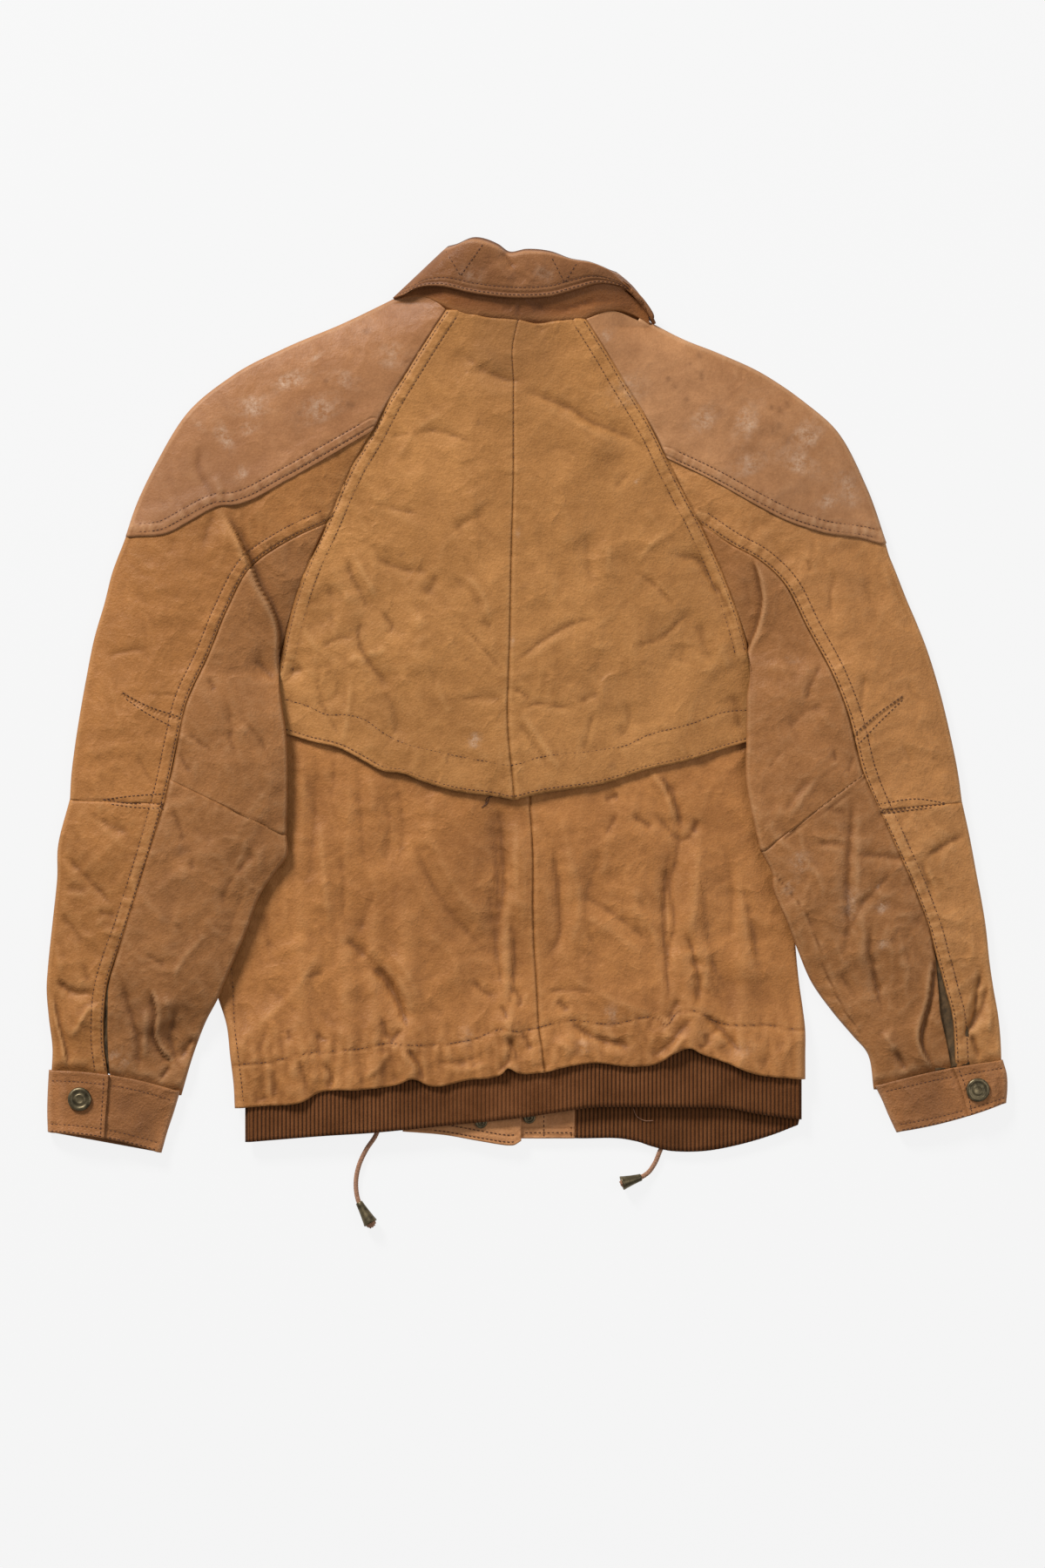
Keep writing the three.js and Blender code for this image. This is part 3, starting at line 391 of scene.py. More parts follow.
# Creases of the cape, in photo pixels, with height and width in millimetres
CAPE_CREASES = [
    ([(593, 438), (657, 468), (717, 495), (752, 530)], -0.9, 8),
    ([(600, 470), (660, 500), (715, 530)], 0.8, 10),
    ([(790, 597), (818, 625), (842, 675), (858, 720)], -0.9, 9),
    ([(805, 690), (770, 755), (745, 800)], -0.7, 9), ([(840, 730), (800, 800), (780, 850)], 0.7, 10),
    ([(420, 560), (470, 600), (520, 612)], 0.7, 9),
    ([(425, 637), (465, 654), (490, 656), (504, 658)], -1.3, 3.2),
    ([(503, 656), (497, 670), (488, 688)], -1.3, 4.5), ([(504, 655), (511, 626), (530, 611)], 0.7, 4),
    ([(520, 660), (539, 666), (553, 680), (560, 701), (567, 720)], 0.8, 2.6),
    ([(514, 664), (533, 672), (546, 686), (553, 704)], -0.6, 4), ([(551, 713), (566, 720)], -0.6, 2),
    ([(529, 714), (553, 742), (582, 775)], -0.7, 1.6), ([(525, 803), (546, 801), (582, 801)], -0.7, 1.6),
    ([(502, 776), (507, 800), (519, 822)], 0.6, 2.5),
    ([(398, 632), (404, 660), (418, 688), (425, 706)], -1.7, 4),
    ([(404, 634), (418, 660), (430, 682), (434, 698)], 1.0, 2.4),
    ([(424, 704), (412, 722), (414, 742), (424, 760), (437, 776), (454, 788)], -1.6, 3),
    ([(436, 699), (450, 722), (438, 729)], -1.2, 2.6), ([(419, 745), (431, 752), (446, 742)], 0.8, 2.2),
    ([(430, 756), (444, 798), (455, 832), (438, 868)], -1.5, 10),
    ([(482, 690), (482, 738), (475, 780)], 1.3, 13),
    ([(369, 765), (365, 788), (376, 805), (387, 794), (384, 773)], -0.6, 2.2),
    ([(375, 685), (387, 680), (399, 685)], -0.5, 2),
    ([(366, 747), (383, 735), (399, 732), (409, 738)], -0.8, 2.2),
    ([(398, 761), (412, 755), (421, 765)], 0.8, 2.2),
    ([(404, 772), (401, 806), (396, 842), (391, 858)], 0.9, 2),
    ([(361, 793), (376, 819), (393, 850)], -0.8, 2.2), ([(318, 783), (339, 770), (355, 767)], -1.6, 3.2),
    ([(372, 655), (382, 700), (378, 730)], -0.8, 5), ([(345, 720), (362, 745), (360, 775)], 0.7, 4),
    ([(585, 765), (634, 728), (659, 715), (694, 711)], -0.9, 1.8),
    ([(600, 762), (640, 735), (664, 724)], 0.5, 3),
    ([(720, 743), (760, 731), (781, 712), (800, 698)], -0.9, 2.2),
    ([(675, 606), (674, 640), (680, 680)], -1.3, 7), ([(700, 620), (697, 665)], 0.9, 7),
    ([(722, 652), (744, 666), (777, 699)], -0.7, 1.8), ([(728, 649), (755, 618), (775, 606)], 0.7, 3),
    ([(758, 633), (781, 639), (800, 642), (813, 662), (831, 687), (845, 715), (855, 742)], -2.2, 3.6),
    ([(803, 708), (807, 738), (818, 762)], -1.0, 5), ([(786, 735), (780, 765)], -0.7, 7),
    ([(823, 735), (838, 770)], 0.9, 7), ([(597, 814), (613, 808), (636, 810), (662, 814)], -1.0, 1.7),
    ([(588, 787), (612, 805)], -0.8, 1.7), ([(664, 810), (675, 800), (692, 797)], -0.7, 1.8),
    ([(596, 813), (618, 846), (647, 890)], 0.8, 2), ([(590, 820), (612, 853), (636, 890)], -0.5, 3),
    ([(682, 812), (675, 839), (668, 870)], -0.7, 2), ([(718, 800), (721, 830), (706, 854)], -1.0, 5),
    ([(842, 790), (845, 818), (852, 843)], -1.4, 5), ([(690, 740), (684, 770), (700, 790)], -0.6, 6),
    ([(519, 396), (540, 415), (568, 431), (589, 438), (616, 433)], -1.1, 4),
    ([(522, 427), (559, 429), (590, 442)], -0.6, 2), ([(540, 440), (575, 452), (612, 448)], 0.8, 8),
    ([(588, 440), (620, 456), (654, 470), (682, 487), (704, 495), (732, 509), (751, 527)], -1.5, 3),
    ([(610, 464), (650, 482), (690, 502), (722, 520)], 0.8, 6),
    ([(620, 521), (637, 515), (671, 526)], -0.5, 2), ([(725, 539), (704, 564)], -0.6, 2.5),
    ([(521, 402), (536, 427)], -0.6, 4), ([(473, 498), (496, 495), (548, 510)], -0.9, 2),
    ([(476, 497), (508, 473)], 0.6, 2.2), ([(476, 498), (456, 527)], 0.5, 2.4),
    ([(447, 503), (474, 497)], -0.6, 1.8), ([(425, 577), (457, 585), (487, 591)], -1.0, 2),
    ([(517, 614), (538, 597), (562, 591)], -0.8, 2.4), ([(540, 560), (556, 585)], 0.7, 8),
    ([(636, 560), (652, 600), (646, 640)], 0.9, 9), ([(617, 373), (624, 383)], -0.7, 1.6),
    ([(630, 371), (640, 390)], -0.5, 2), ([(640, 660), (628, 700)], 0.6, 6),
    ([(760, 560), (790, 592)], -0.7, 4), ([(738, 580), (762, 612)], 0.6, 4),
]

# Long soft folds of the lower back, and its creases
LOWER_FOLDS = [
    ([(366, 930), (372, 1000), (379, 1073)], 3.4, 9),
    ([(379, 1060), (347, 1127), (307, 1167), (273, 1193)], 2.8, 8),
    ([(392, 960), (394, 1020), (396, 1080)], -2.4, 7),
    ([(386, 1060), (418, 1093), (443, 1120), (463, 1160), (467, 1192)], -3.4, 7),
    ([(440, 1085), (470, 1120), (486, 1165)], 2.2, 8),
    ([(465, 945), (507, 1033), (547, 1080), (570, 1104)], -2.2, 6),
    ([(490, 950), (525, 1020), (562, 1066)], 2.2, 8), ([(433, 1020), (408, 1078)], -2, 7),
    ([(632, 960), (641, 1030), (639, 1080), (616, 1110)], -3.6, 5),
    ([(655, 965), (664, 1050), (650, 1105)], 2.2, 8), ([(660, 1022), (703, 1048), (755, 1086)], -2, 4),
    ([(657, 1042), (700, 1068), (745, 1100)], 2, 6), ([(803, 945), (799, 1020), (790, 1090)], 2.6, 8),
    ([(744, 926), (787, 963), (806, 934)], -2, 3.4),
    ([(780, 930), (776, 985), (769, 1010), (773, 1060), (767, 1100), (782, 1140)], -3.2, 5),
    ([(640, 1115), (717, 1153), (770, 1172)], 2, 7), ([(806, 1015), (817, 1100), (840, 1152)], -2.2, 6),
    ([(846, 975), (857, 1073), (873, 1155)], 2, 8), ([(700, 950), (690, 1010)], 1.6, 8),
    ([(566, 925), (570, 990), (573, 1085)], -3.2, 6), ([(598, 935), (602, 1000), (598, 1085)], 2.4, 8),
    ([(441, 905), (446, 960), (438, 1010)], -2, 7), ([(330, 960), (328, 1030), (322, 1090)], 1.6, 8),
]
LOWER_CREASES = [
    ([(349, 850), (348, 920), (344, 1010)], 0.9, 7), ([(362, 850), (362, 920), (352, 1040)], -0.9, 6),
    ([(399, 862), (402, 930), (390, 1030)], 0.7, 8), ([(385, 865), (380, 920)], -0.5, 3),
    ([(411, 872), (413, 930), (420, 1010)], -0.8, 6), ([(424, 880), (430, 940)], 0.5, 5),
    ([(452, 890), (462, 940), (458, 1000)], -1.0, 7), ([(500, 905), (488, 980)], 0.9, 9),
    ([(571, 912), (574, 950), (578, 1000), (576, 1060)], -2.3, 6),
    ([(595, 925), (592, 980), (596, 1060)], 1.2, 6), ([(560, 1010), (570, 1090), (580, 1160)], -1.5, 9),
    ([(585, 1040), (590, 1110), (580, 1175)], -1.6, 4),
    ([(415, 1102), (439, 1121), (455, 1145), (465, 1168), (467, 1188)], -2.4, 4.2),
    ([(425, 1095), (452, 1118), (470, 1148), (478, 1172)], 1.3, 7), ([(395, 1075), (420, 1100)], -1.0, 4),
    ([(438, 1164), (446, 1196)], -1.3, 2.6), ([(464, 1178), (447, 1198)], -1.2, 2.2),
    ([(331, 1178), (333, 1196)], -0.8, 2), ([(351, 1121), (373, 1116)], -0.6, 2),
    ([(361, 1188), (380, 1195)], -0.7, 2), ([(540, 1122), (560, 1140), (574, 1142)], -1.0, 3),
    ([(575, 1150), (584, 1172)], -1.2, 2.4), ([(744, 884), (760, 901), (769, 921), (777, 948)], 1.6, 2.6),
    ([(752, 886), (768, 905), (777, 930), (784, 960)], -1.8, 4), ([(692, 919), (712, 911)], -0.9, 2.2),
    ([(724, 934), (752, 952)], -1.2, 2.6), ([(800, 938), (796, 958)], -0.9, 2.4),
    ([(710, 930), (694, 960)], -0.6, 2), ([(640, 920), (655, 1000), (650, 1060)], 1.0, 12),
    ([(690, 970), (672, 1050), (690, 1110)], -0.9, 8), ([(735, 1000), (722, 1080)], 1.0, 9),
    ([(770, 960), (762, 1030), (764, 1105), (766, 1150), (761, 1174)], -1.6, 3),
    ([(782, 1143), (771, 1160), (766, 1174)], -1.2, 2.4),
    ([(785, 1060), (797, 1102), (801, 1122), (799, 1162)], -2.3, 4),
    ([(812, 1070), (812, 1110), (808, 1145)], 1.3, 6), ([(830, 960), (840, 1030), (835, 1090)], -1.0, 8),
    ([(848, 1000), (862, 1060), (872, 1120)], -1.2, 6),
    ([(619, 1137), (664, 1136), (693, 1138)], -0.6, 2.2), ([(639, 1146), (653, 1161)], -1.0, 2.2),
    ([(587, 1129), (597, 1148), (592, 1164)], -0.9, 2.4), ([(608, 1136), (593, 1163)], 0.7, 2.4),
    ([(314, 1225), (315, 1266)], -0.9, 1.8), ([(290, 1264), (310, 1258)], -0.7, 2),
    ([(344, 1212), (354, 1252)], -0.8, 2.4), ([(370, 1216), (380, 1232), (377, 1254)], -1.5, 2),
    ([(414, 1242), (439, 1218), (447, 1203)], 1.0, 2.2),
    ([(465, 1200), (476, 1213), (488, 1240)], -1.9, 1.8),
    ([(457, 1204), (476, 1227), (466, 1240)], 1.2, 2.6),
    ([(498, 1219), (533, 1217), (557, 1208)], -0.8, 2.2),
    ([(508, 1228), (545, 1226), (566, 1218)], 0.7, 2.4),
    ([(566, 1233), (580, 1222), (586, 1201), (580, 1186)], -1.6, 2.2),
    ([(582, 1184), (592, 1209), (593, 1226)], -1.5, 2.6), ([(599, 1182), (612, 1207)], -1.0, 2),
    ([(652, 1169), (677, 1187), (705, 1196), (731, 1200)], -1.8, 2.2), ([(640, 1190), (660, 1212)], 0.8, 4),
    ([(672, 1190), (670, 1214)], 0.8, 2), ([(744, 1215), (766, 1199), (780, 1182), (797, 1165)], -1.6, 2.6),
    ([(757, 1218), (778, 1200), (789, 1180)], 1.3, 2.6),
    ([(803, 1162), (829, 1182), (844, 1200), (858, 1214)], -2.1, 2.4),
    ([(809, 1183), (811, 1196), (800, 1204)], -1.2, 2), ([(820, 1182), (832, 1200)], 1.0, 3),
    ([(300, 1130), (330, 1150), (345, 1175)], -0.6, 5), ([(480, 1060), (520, 1100), (530, 1150)], 0.8, 9),
    ([(300, 1040), (312, 1100)], -0.8, 6), ([(655, 1085), (700, 1105)], -0.5, 4),
]

# Creases of the two sleeves with their shoulder patches
LEFT_CREASES = [
    ([(232, 510), (229, 540), (237, 556), (254, 574)], -1.5, 3.4), ([(246, 545), (258, 570)], 0.9, 3),
    ([(248, 584), (240, 606), (232, 630)], -1.0, 3.5), ([(262, 592), (255, 640), (240, 670)], 1.3, 9),
    ([(200, 615), (196, 640)], -0.6, 4), ([(170, 640), (185, 690)], 0.7, 9),
    ([(118, 753), (153, 747), (174, 745)], -0.9, 2.2),
    ([(124, 775), (133, 807), (138, 829), (145, 853)], 0.7, 2.4),
    ([(156, 863), (172, 893), (180, 906)], -0.7, 2), ([(168, 797), (208, 797)], -0.5, 2),
    ([(239, 777), (249, 795)], -0.8, 2), ([(258, 800), (265, 824), (266, 850), (275, 871)], -1.2, 3),
    ([(274, 817), (300, 850), (314, 880)], -0.7, 2), ([(213, 838), (247, 865)], -0.9, 1.8),
    ([(204, 860), (221, 890)], -0.8, 2), ([(288, 755), (306, 769), (318, 783)], -1.2, 3),
    ([(296, 740), (302, 765), (296, 785)], -0.9, 3.5), ([(196, 922), (209, 954), (212, 970)], -1.1, 2.6),
    ([(212, 968), (221, 986), (219, 1004)], -0.7, 2.4),
    ([(298, 957), (285, 985), (263, 1013), (252, 1047)], -1.4, 4),
    ([(292, 945), (285, 963), (270, 1000), (242, 1035)], 0.8, 3.5),
    ([(69, 975), (94, 1000), (116, 1023), (132, 1042)], -1.3, 2.8),
    ([(98, 929), (127, 947), (163, 966)], -1.0, 3), ([(72, 1017), (90, 1021), (104, 1020)], -0.6, 2),
    ([(65, 1044), (82, 1062), (98, 1082)], -1.0, 3.4), ([(112, 1045), (135, 1052)], -0.8, 1.8),
    ([(64, 1118), (78, 1135), (94, 1139), (112, 1136)], -1.2, 2.4),
    ([(110, 1146), (96, 1168), (80, 1193)], 1.1, 2.8),
    ([(140, 1118), (150, 1160), (158, 1188), (160, 1217), (160, 1240)], -1.5, 4),
    ([(170, 1150), (168, 1185), (166, 1220)], 1.3, 5), ([(205, 1150), (196, 1190), (208, 1232)], -1.2, 4),
    ([(200, 1134), (205, 1112), (224, 1086), (247, 1064)], 0.9, 3), ([(190, 1140), (200, 1180)], 0.9, 6),
    ([(204, 1058), (214, 1079)], -0.6, 2), ([(168, 1094), (193, 1109)], -0.6, 2),
    ([(286, 1010), (270, 1050), (256, 1090)], -1.0, 5), ([(197, 1220), (184, 1241)], -1.1, 2),
    ([(226, 1187), (205, 1217)], -1.2, 3), ([(62, 1080), (72, 1120)], 0.8, 5),
    ([(96, 1100), (102, 1130)], -0.7, 4), ([(100, 840), (118, 900)], 0.7, 8),
    ([(280, 880), (300, 930)], 0.6, 7),
]
LEFT_FOLDS = [
    ([(322, 790), (320, 755), (320, 722), (313, 700), (299, 675), (287, 645), (272, 614), (256, 588)], 5.5, 13),
    ([(79, 1228), (74, 1200), (66, 1170), (60, 1138)], 2.0, 4),
    ([(203, 1222), (188, 1209), (179, 1190), (181, 1164), (174, 1132)], -2.4, 5),
]
RIGHT_CREASES = [
    ([(926, 811), (928, 790), (938, 770), (942, 758)], -1.2, 2.6),
    ([(900, 842), (927, 815), (954, 806)], -1.1, 5), ([(899, 858), (878, 886)], -0.6, 2),
    ([(941, 888), (918, 919), (902, 942)], 0.9, 2.4), ([(932, 888), (910, 916), (896, 936)], -0.9, 3),
    ([(956, 857), (959, 878)], -0.8, 2), ([(979, 866), (972, 890)], -0.8, 2),
    ([(1000, 831), (1003, 860)], 0.6, 2), ([(1034, 849), (1049, 886)], -0.7, 2),
    ([(1038, 779), (1049, 799), (1064, 808)], -0.8, 2.4), ([(992, 770), (989, 798), (987, 826)], -1.3, 3.2),
    ([(1116, 953), (1085, 969), (1057, 986)], -1.6, 2.2),
    ([(1057, 985), (1061, 1003), (1070, 1025)], -1.0, 2),
    ([(1059, 986), (1031, 985), (1003, 981), (973, 983)], -1.3, 2),
    ([(976, 905), (976, 937), (973, 980), (972, 1023), (973, 1050), (965, 1102)], -2.0, 2.8),
    ([(985, 920), (984, 975), (982, 1040)], 0.9, 4), ([(947, 928), (972, 932)], -0.9, 1.8),
    ([(935, 968), (971, 967)], -1.1, 2), ([(1031, 988), (1009, 1015), (985, 1043), (970, 1082)], -0.9, 2),
    ([(916, 945), (927, 989), (940, 1008), (945, 1045)], 0.8, 2.6),
    ([(999, 1057), (997, 1087), (1004, 1121), (1012, 1163)], -1.7, 2.8),
    ([(1024, 1200), (1042, 1231)], -1.3, 2.2), ([(1012, 1180), (1034, 1217)], 1.0, 3.5),
    ([(1063, 988), (1071, 1012), (1080, 1036)], 0.6, 2.4),
    ([(1130, 1102), (1121, 1139), (1118, 1165), (1099, 1203)], -1.5, 2.6),
    ([(1137, 1118), (1127, 1156), (1112, 1186)], -1.3, 2.6),
    ([(1112, 1183), (1120, 1201), (1123, 1219)], -1.5, 2), ([(1140, 1150), (1134, 1190)], 1.0, 4),
    ([(1030, 1060), (1040, 1120), (1038, 1170)], 1.0, 8), ([(925, 1040), (945, 1085)], -0.8, 3.5),
    ([(960, 1110), (985, 1150)], -0.8, 4), ([(990, 660), (1000, 700)], -0.8, 5),
    ([(1010, 640), (1030, 690), (1050, 720)], 0.9, 7), ([(960, 650), (952, 690), (958, 720)], -1.2, 4),
    ([(925, 640), (930, 660)], -0.8, 3), ([(880, 610), (905, 650)], -0.7, 4),
    ([(900, 720), (885, 780)], 0.9, 9), ([(866, 760), (862, 850)], 0.7, 6),
    ([(1080, 880), (1095, 915)], 0.6, 5), ([(1045, 1050), (1075, 1075)], -0.6, 3),
    ([(1113, 1022), (1128, 1060)], -0.7, 3.5), ([(855, 665), (862, 705)], -0.8, 3),
    ([(860, 575), (900, 562), (930, 556)], 0.6, 5), ([(860, 500), (930, 505)], -0.5, 3),
]
RIGHT_FOLDS = [
    ([(864, 640), (872, 668), (875, 690), (870, 718), (858, 750), (855, 790)], 4.6, 11),
    ([(1073, 1230), (1056, 1198), (1066, 1142), (1071, 1094)], 2.3, 4.5),
]

# Scuffs, and stains with a few marks of painted shade, in photo pixels, with strength and width in millimetres
SCUFFS = [
    ([(290, 452), (294, 482)], 0.75, 6), ([(282, 484), (291, 500)], 0.5, 4),
    ([(318, 434), (331, 446)], 0.6, 3), ([(335, 424), (343, 448)], 0.65, 6),
    ([(360, 452), (376, 488)], 0.55, 8), ([(245, 500), (263, 494)], 0.55, 4),
    ([(254, 511), (270, 505)], 0.6, 3), ([(270, 540), (286, 549)], 0.5, 3),
    ([(402, 424), (392, 448)], 0.35, 5), ([(452, 390), (446, 430)], 0.35, 6),
    ([(226, 492), (232, 486)], 0.5, 3), ([(362, 408), (366, 414)], 0.5, 4),
    ([(798, 470), (818, 494)], 0.55, 6), ([(842, 478), (872, 492)], 0.55, 8),
    ([(852, 520), (866, 548)], 0.4, 8), ([(912, 488), (940, 512)], 0.6, 8),
    ([(924, 520), (912, 546)], 0.55, 8), ([(944, 568), (954, 586)], 0.6, 4),
    ([(966, 536), (982, 588)], 0.45, 4), ([(690, 382), (702, 392)], 0.5, 3),
    ([(712, 430), (730, 470)], 0.35, 8), ([(544, 841), (545, 850), (547, 859)], 1.4, 1.8),
    ([(731, 551), (733, 554)], 0.9, 1.2), ([(585, 738), (592, 738)], 0.7, 1.4),
    ([(592, 612), (598, 613)], 0.5, 1.6), ([(916, 975), (920, 1004)], 0.6, 4),
    ([(900, 1014), (912, 1024)], 0.5, 4), ([(1011, 1032), (1012, 1050)], 0.8, 2),
    ([(1012, 1078), (1013, 1090)], 0.8, 1.6), ([(979, 1012), (974, 1060)], 0.4, 3),
    ([(1006, 1015), (1009, 1016)], 0.8, 1.5), ([(140, 1215), (150, 1222)], 0.4, 3),
    ([(128, 1205), (136, 1216)], 0.45, 3), ([(668, 1190), (672, 1212)], 0.4, 2.4),
    ([(690, 1163), (712, 1164)], 0.45, 4), ([(525, 1191), (545, 1186)], 0.35, 4),
    ([(846, 1195), (858, 1215)], 0.35, 5), ([(520, 312), (560, 325)], 0.3, 4),
    ([(610, 313), (640, 322)], 0.35, 3), ([(895, 758), (922, 759)], 0.3, 1.2),
]
STAINS_AND_SHADE = [
    ([(520, 352), (560, 358), (600, 360), (650, 360)], 0.5, 9), ([(130, 1250), (185, 1295)], 0.75, 20),
    ([(1020, 1262), (1090, 1255)], 0.65, 20), ([(150, 602), (200, 582), (250, 560), (300, 540)], 0.5, 22),
    ([(850, 556), (930, 586), (1005, 606)], 0.4, 20), ([(525, 385), (590, 418), (655, 398)], 0.4, 26),
    ([(520, 372), (590, 385), (660, 380)], 0.25, 14), ([(206, 968), (211, 984)], 0.9, 4),
    ([(182, 1052), (200, 1055)], 0.7, 5), ([(196, 1078), (203, 1092)], 0.55, 4),
    ([(186, 1000), (198, 1050)], 0.35, 14), ([(524, 398), (600, 440)], 0.3, 16),
    ([(395, 640), (420, 760)], 0.35, 14), ([(440, 790), (450, 840)], 0.3, 14),
    ([(596, 352), (594, 367)], 1.3, 3), ([(612, 350), (625, 366)], 0.35, 8),
    ([(800, 404), (806, 414)], 0.8, 1.1), ([(790, 416), (793, 422)], 0.7, 1),
    ([(804, 425), (806, 440)], 0.8, 1.1), ([(766, 432), (768, 441)], 0.9, 1.2),
    ([(774, 440), (776, 449)], 0.7, 1.2), ([(785, 455), (790, 464)], 0.7, 1.4),
    ([(885, 464), (886, 473)], 1, 1), ([(894, 466), (895, 476)], 1, 1), ([(903, 459), (905, 471)], 1, 1),
    ([(903, 502), (905, 513)], 0.8, 1), ([(893, 484), (895, 496)], 0.8, 1.2),
    ([(885, 486), (888, 500)], 0.5, 1.4), ([(371, 437), (379, 440)], 0.9, 1),
    ([(397, 463), (408, 469)], 0.9, 1), ([(420, 376), (422, 387)], 0.7, 2.4),
    ([(466, 414), (468, 418)], 0.8, 2), ([(342, 472), (346, 478)], 0.6, 2),
    ([(548, 482), (552, 491)], 0.8, 1), ([(600, 672), (602, 676)], 1, 1.6),
    ([(534, 756), (535, 759)], 0.9, 1.4), ([(697, 876), (708, 882)], 0.8, 2.2),
    ([(512, 872), (516, 873)], 0.9, 1.4), ([(461, 635), (462, 640)], 0.8, 1.4),
    # The second mark on the next line is painted shade on the fold below the cape's hem.
    ([(560, 920), (556, 926)], 1.4, 1.3), ([(574, 925), (582, 1000)], 0.55, 9),
    ([(740, 700), (790, 760)], 0.25, 14), ([(960, 645), (985, 690)], 0.35, 10),
    ([(150, 1290), (185, 1310)], 0.6, 9), ([(1040, 1270), (1090, 1285)], 0.35, 8),
    # Both marks on the next line are painted shade: the left gusset beside its fold, and the hollow beside the
    # right raglan strip.
    ([(300, 605), (330, 660)], 0.35, 12), ([(850, 640), (866, 700)], 0.35, 10),
    ([(700, 760), (690, 830)], 0.25, 12), ([(470, 985), (600, 1100)], 0.25, 30),
    ([(150, 1140), (185, 1215)], 0.7, 16), ([(480, 400), (520, 440)], 0.25, 12),
]

# Heights of the body and the sleeves above the floor
cape_side = through([(-40, 8.2), (0, 8.2), (21, 8.6), (53, 9.5), (114, 12), (149, 14), (239, 19),
                     (331, 23)])
cape_middle = through([(-90, 19.2), (40, 20.5), (149, 22.5), (239, 24), (322, 25)])
cape_left_x = across(RAGLAN_LEFT + CAPE_SIDE_LEFT)
cape_right_x = across(RAGLAN_RIGHT + CAPE_SIDE_RIGHT)
cape_centre_x = across(CAPE_CENTRE)
side_fold = through([(-355, 7.2), (-300, 7), (-262, 3.4), (-240, 2.9), (-136, 2.6), (8, 2.2)])
lower_middle = through([(-355, 18.5), (-300, 18.5), (-240, 15.5), (-90, 14.5), (8, 14)])
side_left_x = across(SIDE_LEFT)
side_right_x = across(SIDE_RIGHT)
lower_centre_x = across(LOWER_CENTRE)
sleeve_loft = through([(-339, 3), (-240, 8), (-90, 11), (60, 12), (200, 9), (300, 4), (341, 1)])

raglan_left_line = smooth(RAGLAN_LEFT)
raglan_right_line = smooth(RAGLAN_RIGHT)
cape_centre_line = smooth(CAPE_CENTRE)
cape_row_line = smooth(photo(CAPE_ROW))
cape_hem_line = smooth(photo(CAPE_HEM_LEFT + CAPE_HEM_RIGHT[1:]))
casing_line = smooth(photo(CASING_ROW))
lower_centre_line = smooth(LOWER_CENTRE)
side_row_left = smooth(photo([(262, 1090), (266, 1114), (270, 1178), (275, 1218), (281, 1270)]))


def dome(x, y, centre, left, right, side, middle):
    outer = np.where(x < centre(y), left(y), right(y))
    share = clamp((x - outer) / (centre(y) - outer))
    return mix(side(y), middle(y), np.sin(share * np.pi / 2)), share


def cape_surface(x, y):
    base, share = dome(x, y, cape_centre_x, cape_left_x, cape_right_x, cape_side, cape_middle)
    rough = 0.8 + 0.6 * bell(x, -160, 60) * bell(y, 60, 70)
    relief = 1.5 * creases(x, y, CAPE_CREASES, 0.4) + rough * crumple(x, y, 11)
    relief = relief * ease(0.0, 0.06, share)
    relief += strip(x, y, raglan_left_line, 1, STRIP_NEAR, STRIP_FAR, seed=21)
    relief += strip(x, y, raglan_right_line, -1, STRIP_NEAR, STRIP_FAR, pucker=0.3, seed=22)
    relief += groove(x, y, raglan_left_line) + groove(x, y, raglan_right_line)
    relief += row_dent(x, y, cape_centre_line, depth=0.7, width=0.9, reach=7, seed=23)
    relief += (row_dent(x, y, cape_row_line, seed=24)
               + row_dent(x, y, cape_hem_line, depth=0, reach=9, seed=25))
    relief += row_dent(x, y, beside(cape_hem_line, 3.0), depth=0.4, pucker=0.2, reach=3, seed=26)
    return base + relief


def lower_surface(x, y):
    base, share = dome(x, y, lower_centre_x, side_left_x, side_right_x, lambda v: 2 * side_fold(v),
                       lower_middle)
    inside = ease(0, 0.15, share)
    depth = ease(-120, -230, y) * inside
    for at, width, height in BACK_FOLDS:
        base = base + depth * height * bell(x, at, width)
    hem = ease(-270, -300, y)
    relief = 2.1 * creases(x, y, LOWER_CREASES) + creases(x, y, LOWER_FOLDS, 0.25)
    relief = relief + crumple(x, y, 31)
    relief = relief + hem * (1.1 * noise(x, y * 0.35, 13, 41) + 0.8 * noise(x, y * 0.5, 7, 42))
    relief = relief * ease(0.0, 0.07, share)
    relief += row_dent(x, y, lower_centre_line, depth=0.7, width=0.9, reach=6, seed=33)
    relief += row_dent(x, y, casing_line, depth=0.9, width=1.2, pucker=0.6, reach=8, seed=34)
    relief += row_dent(x, y, side_row_left, depth=0.5, pucker=0.2, reach=4, seed=35)
    return base + relief


